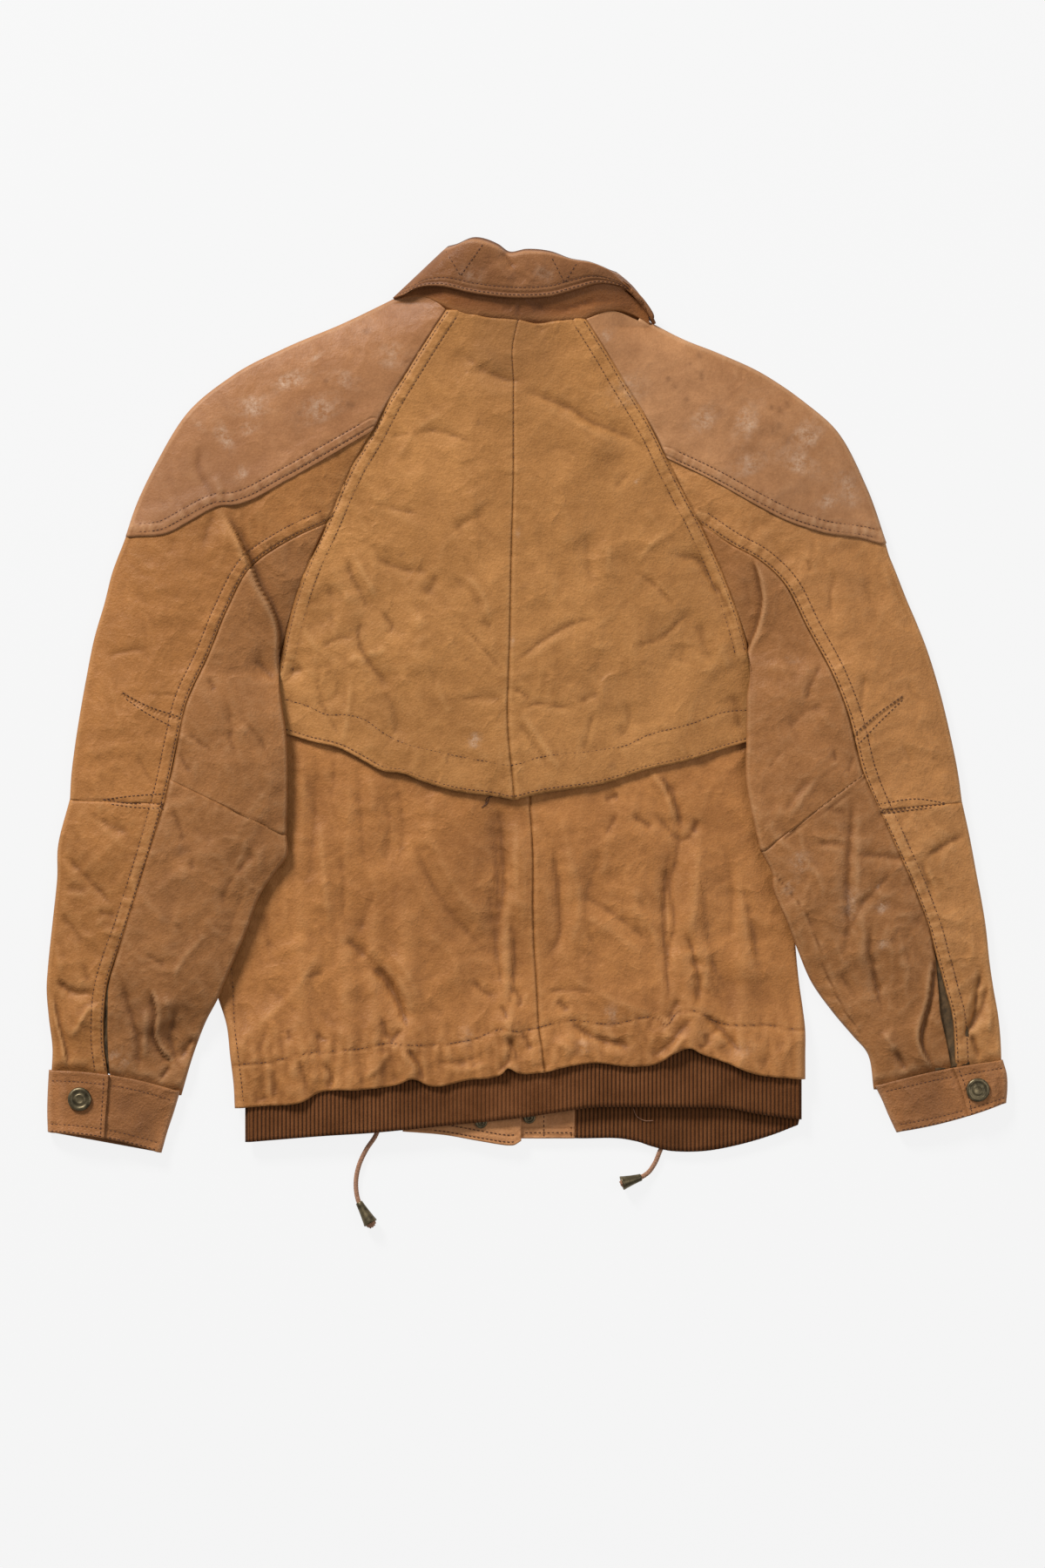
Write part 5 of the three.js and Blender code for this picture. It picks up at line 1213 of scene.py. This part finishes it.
def front_piece(name, raglan, side, sign, middle):
    side_edge = beside(side, sign * (SIDE_TURN + 0.6))
    hem = side_edge[-1][0]
    lower = [tuple(p) for p in side_edge if p[1] > -320]
    rows = [raglan[i] for i in cape_rows][:10]
    edge_line = [tuple(p) for p in beside(rows, sign * 0.5)]
    edge_line += [(raglan[12][0] + sign * 1.5, raglan[12][1] - 16)] + lower
    edge_line += [(hem, -332), (hem, -338), (hem, FRONT_HEM_Y)]
    centre = [(middle, 270 if i == 0 else min(y, 268 - 12 * i)) for i, (_, y) in enumerate(edge_line)]
    centre[-3:] = [(middle, -332), (middle, -338), (middle, FRONT_HEM_Y)]
    one, two = rails(edge_line, centre, 140)
    plan = net(one, two, grain=6)
    def rise(x, y):
        return 0.5 * np.abs(noise(x, y, 40, 91)) + 0.3 * np.abs(noise(x, y, 18, 92))

    grid = lift(plan, rise)
    casing = mix(FRONT_CASING, LEATHER, ease(-337, -333, plan[..., 1]))[..., None]
    return panel(name, grid, lower_leather, thickness=casing, facing=-1)


front_piece("front_left", RAGLAN_LEFT, SIDE_LEFT, 1, -2)
front_piece("front_right", RAGLAN_RIGHT, SIDE_RIGHT, -1, -1.4)

# The collar: a stand on the neck seam and a leaf rolled over it and round to the front
neck_height = through([(-112, 8.5), (-90, 15), (-69, 22.5), (-7, 25), (51, 22.5), (80, 15), (100, 8.5)])
STAND_LOW = [(-108, 341), (-105, 341.7), (-84, 341), (-73, 336), (-62, 330.6), (-36, 326.2), (-7, 323.1),
             (10, 322.3), (24, 322.3), (42, 323), (50, 323.8), (60, 328), (80, 330.6), (95, 325.6),
             (106, 319)]
STAND_HIGH = [(-100, 350), (-92, 356), (-74, 367), (-65, 372), (-56, 376), (-36, 379), (-14, 372), (4, 374),
              (22, 372), (40, 366), (49, 364), (58, 362), (74, 355), (90, 343), (104, 333)]
LEAF_FOLD = [(-4, 326, 0), (-22, 346, 0), (-42, 367, 0), (-58, 380, 0), (-68, 385.5, 12), (-59, 388, 28),
             (-45, 393, 34), (-24, 387, 35), (-15, 381, 33.5), (0, 383, 34), (21, 381, 34), (38, 375, 33),
             (55, 372, 31), (71, 366, 25), (78, 363, 10), (66, 357, 0), (46, 349, 0), (22, 340, 0),
             (0, 326, 0)]
LEAF_EDGE = [(-4, 273, 0), (-30, 299, 0), (-62, 338, 0), (-100, 347, 0), (-115, 342, 8), (-106, 344, 17),
             (-94, 349.5, 23), (-76, 350.5, 28), (-48, 344.5, 30.5), (-2, 340, 31.5), (24, 342, 31),
             (42, 347, 29.5), (66, 353, 26), (92, 346, 18), (111, 320, 8), (99, 331, 0), (56, 335, 0),
             (30, 306, 0), (0, 273, 0)]
LOBE_SWELL = 7
COLLAR_CREASES = [
    ([(578, 288), (584, 300), (589, 313)], -2.6, 3), ([(586, 300), (596, 318), (610, 324)], -1.0, 2.4),
    ([(570, 300), (580, 318), (592, 326)], 1.2, 4), ([(540, 300), (560, 316)], -0.7, 4),
    ([(600, 312), (640, 324)], -0.7, 2.4), ([(470, 332), (500, 316), (520, 310)], -0.8, 4),
    ([(690, 312), (715, 326), (735, 348)], -0.9, 4), ([(660, 305), (690, 318)], 0.8, 5),
    ([(505, 300), (520, 315)], -0.6, 3), ([(570, 322), (630, 328)], -0.6, 2.4),
]
STAND_CREASES = [
    ([(596, 349), (595, 368)], -1.2, 1.6), ([(575, 356), (590, 356)], -0.8, 1.6),
    ([(598, 354), (640, 356), (700, 340)], -1.0, 3), ([(630, 366), (665, 352), (715, 345)], -1.0, 3),
    ([(660, 360), (700, 352), (730, 352)], 0.8, 3), ([(610, 362), (625, 352)], -0.7, 2),
]


def stand_grid(columns=240, rows=22):
    low, high = spline(STAND_LOW, columns), spline(STAND_HIGH, columns)
    t = np.linspace(-0.2, 1, rows)[None, :, None]
    plan = mix(low[:, None], high[:, None], t)
    z = neck_height(low[:, 0])[:, None] + 1 + 3.5 * t[..., 0] - 3.4 * ease(0.02, -0.08, t[..., 0])
    x, y = plan[..., 0], plan[..., 1]
    z = z + creases(x, y, STAND_CREASES) + 0.4 * crumple(x, y, 121)
    return np.dstack([plan, z])


panel("collar_stand", stand_grid(), stand_leather)


def leaf_point(s, t):
    """A point of the collar leaf: s along it from 0 to 1, t from its fold to its edge."""
    fold_line, edge_line = spline(LEAF_FOLD, 600), spline(LEAF_EDGE, 600)
    knots = np.linspace(0, 1, 600)
    one = np.stack([np.interp(s, knots, fold_line[:, k]) for k in range(3)], axis=-1)
    two = np.stack([np.interp(s, knots, edge_line[:, k]) for k in range(3)], axis=-1)
    point = mix(one, two, np.asarray(t)[..., None])
    raised = ease(6, 20, point[..., 2])
    swell = LOBE_SWELL * bell(s, 0.778, 0.05) * hump(np.clip(t, 0, 1))
    point[..., 0] += 0.8 * swell
    point[..., 1] += 0.6 * swell
    x, y = point[..., 0], point[..., 1]
    width = np.linalg.norm(two - one, axis=-1)
    from_edge = (1 - t) * width
    bulge = 2.2 * hump(np.clip(t, 0, 1)) ** 0.8
    rim = 0.8 * bell(from_edge, 2.2, 1.8) - 0.7 * bell(from_edge, 5, 1.2) - 0.5 * bell(from_edge, 9.5, 1.0)
    relief = creases(x, y, COLLAR_CREASES) + 0.5 * crumple(x, y, 131)
    roll = -7 * ease(0.12, 0.0, t) ** 2
    point[..., 2] = np.maximum(point[..., 2] + raised * (bulge + rim + relief + roll), 0)
    return point


def leaf_grid(columns=420, rows=40):
    s = np.linspace(0, 1, columns)[:, None]
    t = np.linspace(0, 1, rows)[None, :]
    return leaf_point(*np.broadcast_arrays(s, t))


panel("collar_leaf", leaf_grid(), collar_leather, thickness=DOUBLE_LEATHER)

# The cuffs: a band round the wrist with its tab end lying over the other end
CUFF_LEFT = {"outer": [(-411, -322.6), (-412, -340), (-412.5, -358), (-412, -376)],
             "inner": [(-298, -341), (-303, -358), (-309, -376), (-314, -394)],
             "bows": [5, 5, 4.5, 4], "tab": [0.46, 0.475, 0.49, 0.5], "under": 0.37}
CUFF_RIGHT = {"outer": [(410, -313.6), (413.5, -326), (414, -338), (413, -350)],
              "inner": [(300, -336.2), (306, -348), (312, -362), (318.5, -375.5)],
              "bows": [2.5, 0.5, -1.5, -3], "tab": [0.39, 0.38, 0.365, 0.35], "under": 0.27}
CUFF_ROWS = 34
CUFF_KNOTS = np.linspace(0, 1, 4)


def cuff_value(cuff, key, v):
    return hermite(CUFF_KNOTS, np.array(cuff[key], float),
                   np.gradient(np.array(cuff[key], float), CUFF_KNOTS), np.asarray(v, float))


def cuff_ends(cuff, v):
    outer, inner = (np.array(cuff[key], float) for key in ("outer", "inner"))
    v = np.asarray(v, float)
    return [hermite(CUFF_KNOTS, line, np.gradient(line, CUFF_KNOTS, axis=0),
                    v.ravel()).reshape(v.shape + (2,)) for line in (outer, inner)]


def cuff_point(cuff, u, v, lifted=False):
    """A point on a cuff's top: u across from its outer fold, v down from the sleeve."""
    u, v = np.broadcast_arrays(np.asarray(u, float), np.asarray(v, float))
    one, two = cuff_ends(cuff, v)
    plan = mix(one, two, u[..., None])
    y = plan[..., 1] + cuff_value(cuff, "bows", v) * hump(u)
    width = np.linalg.norm(two - one, axis=-1)
    height = 2 * CUFF_FOLD + 1 + 3 * hump(u) ** 0.8
    if lifted:
        height = height + CUFF_TAB_LIFT * ease(CUFF_FOLD / width, 0.14, u)
    rim = 0.35 * bell(v, 0.02, 0.04) + 0.35 * bell(v, 0.98, 0.04)
    rim = rim - 0.35 * bell(v, 0.17, 0.02) - 0.35 * bell(v, 0.86, 0.02)
    x = plan[..., 0]
    return np.stack([x, y, height + rim + 0.5 * crumple(x * 1.3, y * 1.3, 151)], axis=-1)


def cuff_grid(cuff):
    v = np.linspace(0, 1, CUFF_ROWS)
    one, two = cuff_ends(cuff, v)
    width = np.linalg.norm(two - one, axis=1)
    out = (one - two) / width[:, None]
    rim = (CUFF_FOLD / width)[:, None]
    column = np.linspace(0, 1, 36)[None, :]
    vv = v[:, None]
    tab = cuff_point(cuff, mix(cuff_value(cuff, "tab", v)[:, None], rim, column), vv, True)
    radius = np.full(CUFF_ROWS, float(CUFF_FOLD))
    near = tab[:, -1]
    outer_arc = round_fold(near[:, :2], out, radius, near[:, 2], np.zeros(CUFF_ROWS))
    far = cuff_point(cuff, mix(1 - rim, np.full((CUFF_ROWS, 1), cuff["under"]), column), vv)
    inner_arc = round_fold(far[:, 0, :2], -out, radius, far[:, 0, 2], np.zeros(CUFF_ROWS))[:, ::-1]
    t = np.linspace(0, 1, 9)[None, :, None]
    floor_plan = mix(near[:, None, :2], far[:, :1, :2], t)
    lower = np.dstack([floor_plan, np.zeros(floor_plan.shape[:2])])
    return np.concatenate([tab, outer_arc, lower, inner_arc, far], axis=1)


panel("cuff_left", cuff_grid(CUFF_LEFT), cuff_leather, thickness=DOUBLE_LEATHER)
panel("cuff_right", cuff_grid(CUFF_RIGHT), cuff_leather, thickness=DOUBLE_LEATHER)


# Linings behind the cuff slits
def slit_lining(name, left, right, arm):
    one, two = rails(left, right, 48)
    plan = net(one, two, grain=1.5)

    def height(x, y):
        below = arm.top(x, y)[0] - LEATHER - 1.2
        return below + 0.6 * noise(x, y, 6, 161) + 0.5 * noise(x, y, 13, 162)

    panel(name, lift(plan, height), lining, "lining_cloth", 0.9)


slit_lining("slit_lining_left", [(-356, -212), (-374, -262), (-375, -295), (-374, -322)],
            [(-338, -212), (-348, -262), (-348, -295), (-347, -328)], left_sleeve)
slit_lining("slit_lining_right", [(336, -206), (344, -256), (347, -288), (352, -324)],
            [(356, -206), (374, -256), (380, -288), (381, -318)], right_sleeve)

# The knit band: under the casing, round both sides to the front tabs
rib_low = through([(-238, -384), (-177, -379), (-131, -376), (-71, -370), (-4, -363), (36, -357),
                   (60, -354),
                   (116, -354), (172, -355), (200, -360), (237, -365)])
rib_high = through([(-238, -338), (-131, -326), (0, -307), (36, -304), (116, -300), (172, -303),
                    (237, -313)])
rib_level = through([(-242, 11), (-150, 13), (0, 14), (150, 13), (237, 11)])
front_low = through([(-238, -382), (-150, -374), (-107, -374), (42, -381), (78, -381), (96, -384),
                     (108, -388),
                     (125, -392), (153, -392), (181, -387), (209, -379), (235, -369)])
front_high = through([(-238, -342), (-107, -336), (42, -334), (235, -318)])
RIB_FRONT_LEVEL = 4.5
RIB_LEFT, RIB_RIGHT, RIB_FOLD = -242, 236.8, 3
RIB_FRONT_LEFT, RIB_FRONT_RIGHT = -102, 37
RIB_STEPS = 6
RIB_ROWS = 14


def rib_wave(x):
    return RIB_HEIGHT * np.abs(np.sin(np.pi * x / RIB_PITCH)) ** 0.7


def rib_grid():
    left, right = RIB_LEFT + RIB_FOLD, RIB_RIGHT - RIB_FOLD
    step = RIB_PITCH / RIB_STEPS

    def run(start, end):
        return np.linspace(start, end, int(abs(end - start) / step))

    def flat(x, low, high, level, wave):
        return np.stack([x, low(x), high(x), level, wave], axis=1)

    def turn(x, side, rising):
        angle = rising * np.linspace(-np.pi / 2, np.pi / 2, 9)[1:-1]
        level = rib_level(x)
        half = (level - RIB_FRONT_LEVEL) / 2
        around = np.full(7, float(x))
        return np.stack([x + side * RIB_FOLD * np.cos(angle), rib_low(around), rib_high(around),
                         RIB_FRONT_LEVEL + half + half * np.sin(angle), np.zeros(7)], axis=1)

    front_a = run(RIB_FRONT_LEFT - 0.5, left)
    back = run(left, right)
    front_b = run(right, RIB_FRONT_RIGHT + 0.5)
    columns = np.concatenate([
        flat(front_a, front_low, front_high, np.full(len(front_a), RIB_FRONT_LEVEL), -rib_wave(front_a)),
        turn(left, -1, 1), flat(back, rib_low, rib_high, rib_level(back), rib_wave(back)),
        turn(right, 1, -1),
        flat(front_b, front_low, front_high, np.full(len(front_b), RIB_FRONT_LEVEL), -rib_wave(front_b))])
    t = np.linspace(0, 1, RIB_ROWS)[None, :]
    x = np.repeat(columns[:, :1], RIB_ROWS, axis=1)
    y = mix(columns[:, 2:3], columns[:, 1:2], t)
    z = columns[:, 3:4] + columns[:, 4:5] * (1 - 0.5 * ease(0.93, 1.0, t))
    return np.dstack([x, y, z]), columns[:, 4]


band, wave = rib_grid()
# The ribs' heights, scaled up, set where the painted shade between them falls.
rib_band = shell("rib_band_shell", band, KNIT, rib_knit,
                 heights=np.repeat(wave[:, None] * 8, RIB_ROWS, axis=1))
keep(rib_band, "rib_knit", "rib_band")

# The leather ends of the knit band at the front opening
tab_low_y = through([(-106.5, -375), (-71, -378), (-36, -384), (-12, -387), (-4.5, -383)])


def tab_level(x):
    return RIB_FRONT_LEVEL + KNIT + 1 + 1.9 * ease(-80, -30, x)


def tab_piece(name, start, end, low, level):
    x = np.linspace(start, end, int((end - start) / 1.5))[:, None]
    t = np.linspace(0, 1, 30)[None, :]
    x, t = np.broadcast_arrays(x, t)
    y = mix(-336.0, low(x), t)
    from_edge = y - low(x)
    z = level(x) + 0.3 * noise(x, y, 9, 171) - 0.4 * bell(from_edge, 3, 0.9) - 0.4 * bell(from_edge, 9, 0.9)
    return panel(name, np.dstack([x, y, z]), tab_leather)


tab_piece("tab_left", -106.5, -4.5, tab_low_y, tab_level)
tab_piece("tab_right", -20, 41.5, lambda x: np.full(np.shape(x), -381.0),
          lambda x: np.full(np.shape(x), RIB_FRONT_LEVEL + LEATHER + 0.3))


# Metal: snap caps and the bells on the cords
def lathe(name, profile, material, turn, centre, sides=48):
    """A turned piece; profile is (radius, height) from the axis to the axis, turn a 3 by 3 matrix."""
    ring = np.array(profile, float)
    angle = np.linspace(0, 2 * np.pi, sides, endpoint=False)
    points = np.stack([ring[:, :1] * np.cos(angle), ring[:, :1] * np.sin(angle),
                       np.repeat(ring[:, 1:], sides, axis=1)], axis=-1)
    index = np.arange(len(ring) * sides).reshape(len(ring), sides)
    after = np.roll(index, -1, axis=1)
    quads = np.stack([index[:-1], after[:-1], after[1:], index[1:]], axis=-1).reshape(-1, 4)
    ends = [points[0].mean(0), points[-1].mean(0)]
    count = index.size
    caps = [(count, b, a) for a, b in zip(index[0], after[0])]
    caps += [(count + 1, a, b) for a, b in zip(index[-1], after[-1])]
    every = np.concatenate([points.reshape(-1, 3), ends]) @ np.asarray(turn, float).T
    every = every + np.asarray(centre, float)
    return make_mesh(name, every, quads, caps, material)


def tilt(angle):
    c, s = math.cos(angle), math.sin(angle)
    return np.array([[c, 0, s], [0, 1, 0], [-s, 0, c]])


def snap(name, radius, height, centre, angle=0.0):
    rings = [(0.02, 0), (0.95, 0), (1, 0.25), (1, 0.5), (0.95, 0.8), (0.85, 0.97), (0.74, 0.98),
             (0.66, 0.8), (0.6, 0.72),
             (0.46, 0.74), (0.42, 0.84), (0.36, 0.92), (0.3, 0.86), (0.24, 0.76), (0.02, 0.74)]
    made = lathe(name + "_cap", [(r * radius, z * height) for r, z in rings], brass, tilt(angle), centre)
    keep(made, "antique_brass", name)


snap("snap_cuff_left", 10.2, 2.8, (-384, -347, 14.9), -0.05)
snap("snap_cuff_right", 10.2, 2.8, (388, -339, 14.7), 0.1)
snap("snap_tab_left", 5.3, 2, (-39, -367, float(tab_level(-33.0)) + 0.35))
snap("snap_tab_right", 5.3, 2, (2.5, -363, RIB_FRONT_LEVEL + LEATHER + 0.6))

# The cords, with their lengths and their bell-shaped ends
CORDS = {
    "left": {"path": [(-125.3, -365, 2.1), (-129.5, -378, 2.1), (-138, -391, 2.1), (-144, -404, 2.1),
                      (-146.6, -416, 2.3),
                      (-144.6, -435, 4.2), (-143.7, -437.4, 4.8)],
             "bell": [(-144.2, -436, 4.6), (-134, -454, 6.4)], "length": 77},
    "right": {"path": [(121, -365, 2.1), (120, -380, 2.1), (115, -392, 2.1), (110, -403.5, 2.1),
                       (104.8, -410.5, 2.8),
                       (100, -413.8, 4.2), (97.4, -414.9, 4.8)],
              "bell": [(98.9, -414.4, 4.7), (82, -419.6, 6.3)], "length": 56.5},
}
BELL_PROFILE = [(0.1, 0), (2.7, 0), (3.1, 0.03), (3.3, 0.15), (4.3, 0.5), (5.6, 0.86), (6.1, 0.95),
                (6, 1.0), (5.3, 0.985), (0.1, 0.95)]


def cord_tube(name, path, thickness=CORD_RADIUS, material=cord_cloth, sides=20, rings=140):
    """A round braided cord along a path, its strands slightly raised."""
    line = spline(path, rings)
    along = np.gradient(line, axis=0)
    along /= np.linalg.norm(along, axis=1)[:, None]
    across_way = np.cross(along, (0, 0, 1.0))
    across_way /= np.linalg.norm(across_way, axis=1)[:, None]
    up = np.cross(across_way, along)
    angle = np.linspace(0, 2 * np.pi, sides, endpoint=False)
    s = lengths(line)[:, None]
    braid = np.abs(np.sin(2 * angle + s * 1.5)) + np.abs(np.sin(2 * angle - s * 1.5))
    radius = thickness * (0.92 + 0.06 * braid)
    ring = np.cos(angle)[None, :, None] * across_way[:, None] + np.sin(angle)[None, :, None] * up[:, None]
    points = line[:, None] + radius[..., None] * ring
    points[..., 2] = np.maximum(points[..., 2], 0.05)
    index = np.arange(rings * sides).reshape(rings, sides)
    after = np.roll(index, -1, axis=1)
    quads = np.stack([index[:-1], index[1:], after[1:], after[:-1]], axis=-1).reshape(-1, 4)
    count = index.size
    caps = [(count, a, b) for a, b in zip(index[0], after[0])]
    caps += [(count + 1, b, a) for a, b in zip(index[-1], after[-1])]
    every = np.concatenate([points.reshape(-1, 3), line[:1], line[-1:]])
    return make_mesh(name, every, quads, caps, material), line


def turn_to(axis):
    """A matrix whose third column is the axis."""
    z = axis / np.linalg.norm(axis)
    x = np.cross((0, 0, 1.0), z)
    x /= np.linalg.norm(x)
    return np.stack([x, np.cross(z, x), z], axis=1)


def knot_end(name, centre, size):
    """The cord's frayed knot that shows at the mouth of a bell."""
    rings = [(0.05, -1), (0.6, -0.8), (0.95, -0.3), (1, 0.2), (0.75, 0.7), (0.4, 0.95), (0.05, 1)]
    made = lathe(name, [(r * size, z * size) for r, z in rings], cord_cloth, np.eye(3), centre, 24)
    for vertex in made.data.vertices:
        wobble = 0.0006 * math.sin(vertex.co.x * 2300) * math.cos(vertex.co.y * 1900)
        vertex.co += Vector((wobble, -wobble, wobble / 2))
    return made


for side, facts in CORDS.items():
    cord, line = cord_tube(f"drawcord_{side}", facts["path"])
    keep(cord, "cord_cloth", f"cord_{side}")
    base, mouth = (np.array(p) for p in facts["bell"])
    axis = mouth - base
    size = np.linalg.norm(axis)
    cap = lathe(f"cord_bell_{side}", [(r, t * size) for r, t in BELL_PROFILE], brass, turn_to(axis), base)
    keep(cap, "antique_brass", f"cord_end_{side}")
    knot = knot_end(f"cord_knot_{side}", mouth - axis / size * (0.5 if side == "left" else 3), 4.6)
    keep(knot, "cord_cloth")
    place(line[0])[0]
    place(line)


# Stitching
def stitches(lines):
    """Points and faces of small sunk threads set evenly along lines in space."""
    points, quads, triangles = [], [], []
    for line in lines:
        s = lengths(line)
        count = int(s[-1] / STITCH_PITCH)
        if count < 1:
            continue
        middles = (np.arange(count) + 0.5) * (s[-1] / count)
        ends = [np.stack([np.interp(middles + k * STITCH_LENGTH / 2, s, line[:, a]) for a in range(3)],
                         axis=1) for k in (-1, 1)]
        along = ends[1] - ends[0]
        along /= np.linalg.norm(along, axis=1)[:, None]
        side = np.stack([-along[:, 1], along[:, 0], np.zeros(count)], axis=1) * STITCH_WIDTH / 2
        up = np.array((0, 0, STITCH_WIDTH * 0.42))
        for start, end, a, w in zip(ends[0], ends[1], along, side):
            first = len(points)
            inset = a * 0.5
            points.append(start - up)
            for ring in (start + inset, end - inset):
                points.extend((ring + w, ring + up, ring - w, ring - up))
            points.append(end - up)
            for k in range(4):
                n = (k + 1) % 4
                triangles.append((first, first + 1 + n, first + 1 + k))
                quads.append((first + 1 + k, first + 1 + n, first + 5 + n, first + 5 + k))
                triangles.append((first + 9, first + 5 + k, first + 5 + n))
    return points, quads, triangles


def on(surface, line, lift_by=0.12):
    """A flat line laid on a surface."""
    p = np.asarray(line, float)
    return np.column_stack([p, surface(p[:, 0], p[:, 1]) + lift_by])


def sew(name, lines, slot="tan_leather"):
    made = make_mesh(name, *stitches(lines), thread)
    keep(made, slot)


def part_of(line, start, end):
    """The stretch of a line between two shares of its length."""
    count = len(line)
    return line[int(start * (count - 1)):int(end * (count - 1)) + 1]


body_rows = [on(cape_surface, beside(raglan_left_line, d)) for d in (STRIP_NEAR, STRIP_FAR)]
body_rows += [on(cape_surface, beside(raglan_right_line, -d)) for d in (STRIP_NEAR, STRIP_FAR)]
body_rows += [on(cape_surface, cape_row_line), on(cape_surface, beside(cape_hem_line, 3.0))]
body_rows += [on(cape_surface, part_of(cape_centre_line, 0, 0.3), -0.1)]
body_rows += [on(lower_surface, casing_line[2:-2]), on(lower_surface, side_row_left)]
sew("stitching_back", body_rows)

for arm in (left_sleeve, right_sleeve):
    rows = [on(arm.surface, beside(arm.seam_line, -arm.sign * d)) for d in (STRIP_NEAR, STRIP_FAR)]
    rows += [on(arm.surface, smooth(photo(line))) for line in DART_ROWS[arm.side]]
    rows += [on(arm.patch, beside(arm.patch_line, -arm.sign * d)[2:-3]) for d in (3, 10)]
    cuff = CUFF_LEFT if arm.side == "left" else CUFF_RIGHT
    v = np.linspace(0.0, 1.0, 60)
    tab_u = cuff_value(cuff, "tab", v)
    across_tab = np.linspace(0.05, 1, 60)
    for down in (0.17, 0.86, 0.97):
        tab_end = float(cuff_value(cuff, "tab", np.array([down]))[0])
        rows.append(cuff_point(cuff, across_tab * tab_end * 0.96, np.full(60, down), True))
        tab_end = float(cuff_value(cuff, "tab", np.array([down]))[0])
        rows.append(cuff_point(cuff, np.linspace(tab_end + 0.03, 0.95, 60), np.full(60, down)))
    rows.append(cuff_point(cuff, tab_u - 0.035, mix(0.05, 0.95, v), True))
    sew(f"stitching_sleeve_{arm.side}", [row + (0, 0, 0.1) for row in rows])


def leaf_row(from_edge, start, end):
    s = np.linspace(start, end, 200)
    wide = leaf_point(s, np.zeros_like(s)) - leaf_point(s, np.ones_like(s))
    t = 1 - from_edge / np.linalg.norm(wide[:, :2], axis=1)
    return leaf_point(s, t) + (0, 0, 0.15)


def leaf_line(points):
    """Stitches across the leaf between photo points, laid at the leaf's height."""
    p = smooth(photo(points))
    grid = leaf_grid(300, 30).reshape(-1, 3)
    top = grid[grid[:, 2] > 15]
    gaps = np.hypot(top[None, :, 0] - p[:, :1], top[None, :, 1] - p[:, 1:])
    return np.column_stack([p, top[gaps.argmin(axis=1), 2] + 0.25])


collar_rows = [leaf_row(9.5, 0.27, 0.73), leaf_row(3.2, 0.27, 0.73)]
collar_rows += [leaf_line(points) for points in ([(512, 290), (529, 319)], [(529, 319), (555, 283)],
                                                 [(631, 294), (648, 327)], [(648, 327), (665, 300)])]
sew("stitching_collar", collar_rows)

# Loose threads: one on the knit, two under the hem of the cape
def loose_thread(name, points, surface, material):
    flat = photo(points)
    path = np.column_stack([flat, surface(flat[:, 0], flat[:, 1]) + 0.5])
    keep(cord_tube(name, path, 0.28, material, 6, 40)[0], "rib_knit")


loose_thread("thread_on_knit", [(727, 1272), (731, 1281), (740, 1286), (750, 1286)],
             lambda x, y: RIB_FRONT_LEVEL + KNIT + 0 * x, cord_cloth)
loose_thread("thread_under_cape", [(566, 914), (559, 917), (558, 924)], lower_surface, thread)
loose_thread("second_thread_under_cape", [(563, 913), (560, 921), (553, 927)], lower_surface, thread)

tab_x = np.linspace(-80, -10, 60)
tab_rows = [np.column_stack([tab_x, tab_low_y(tab_x) + d, tab_level(tab_x) + 0.1]) for d in (3, 9)]
tab_rows.append(np.column_stack([np.full(20, 15.0), np.linspace(-345, -380, 20),
                                 np.full(20, RIB_FRONT_LEVEL + LEATHER + 0.45)]))
right_x = np.linspace(-2, 40, 40)
tab_rows.append(np.column_stack([right_x, np.full(40, -376.0),
                                 np.full(40, RIB_FRONT_LEVEL + LEATHER + 0.45)]))
sew("stitching_tabs", tab_rows)

# The floor, the light and the camera
floor_mesh = bpy.data.meshes.new("floor")
reach = 8.0
floor_mesh.from_pydata([(-reach, -reach, -0.0006), (reach, -reach, -0.0006), (reach, reach, -0.0006),
                        (-reach, reach, -0.0006)], [], [(0, 1, 2, 3)])
floor = bpy.data.objects.new("floor", floor_mesh)
bpy.context.scene.collection.objects.link(floor)
floor_material = bpy.data.materials.new("pale_floor")
floor_material.use_nodes = True
floor_shader = floor_material.node_tree.nodes["Principled BSDF"]
floor_shader.inputs["Base Color"].default_value = (0.06, 0.06, 0.06, 1)
floor_shader.inputs["Roughness"].default_value = 1.0
floor_shader.inputs["Specular IOR Level"].default_value = 0.0
floor_shader.inputs["Emission Color"].default_value = (1, 1, 1, 1)
floor_shader.inputs["Emission Strength"].default_value = 0.855
floor_mesh.materials.append(floor_material)

world = bpy.data.worlds.new("studio")
bpy.context.scene.world = world
world.use_nodes = True
world.node_tree.nodes["Background"].inputs["Color"].default_value = (1, 1, 1, 1)
world.node_tree.nodes["Background"].inputs["Strength"].default_value = 0.26


def area_light(name, place_at, size, power):
    data = bpy.data.lights.new(name, "AREA")
    data.size = size
    data.energy = power
    lamp = bpy.data.objects.new(name, data)
    lamp.location = place_at
    lamp.rotation_euler = (Vector((0, 0, 0)) - Vector(place_at)).to_track_quat("-Z", "Y").to_euler()
    lamp.visible_camera = False
    bpy.context.scene.collection.objects.link(lamp)


area_light("key", (-2.6, 4.0, 2.9), 1.4, 400)
area_light("fill", (2.6, 0.2, 3.2), 2.4, 46)

LENS = 200
SENSOR = 36
camera_data = bpy.data.cameras.new("camera")
camera_data.lens = LENS
camera_data.sensor_width = SENSOR
camera = bpy.data.objects.new("camera", camera_data)
photo_centre = photo([(600, 900)])[0] + FRAME_SHIFT
distance = VIEW_HEIGHT * LENS / SENSOR
camera.location = (photo_centre[0] * METRES, photo_centre[1] * METRES, distance * METRES)
camera_data.clip_end = 100
bpy.context.scene.collection.objects.link(camera)
bpy.context.scene.camera = camera
bpy.context.scene.view_settings.view_transform = "Standard"
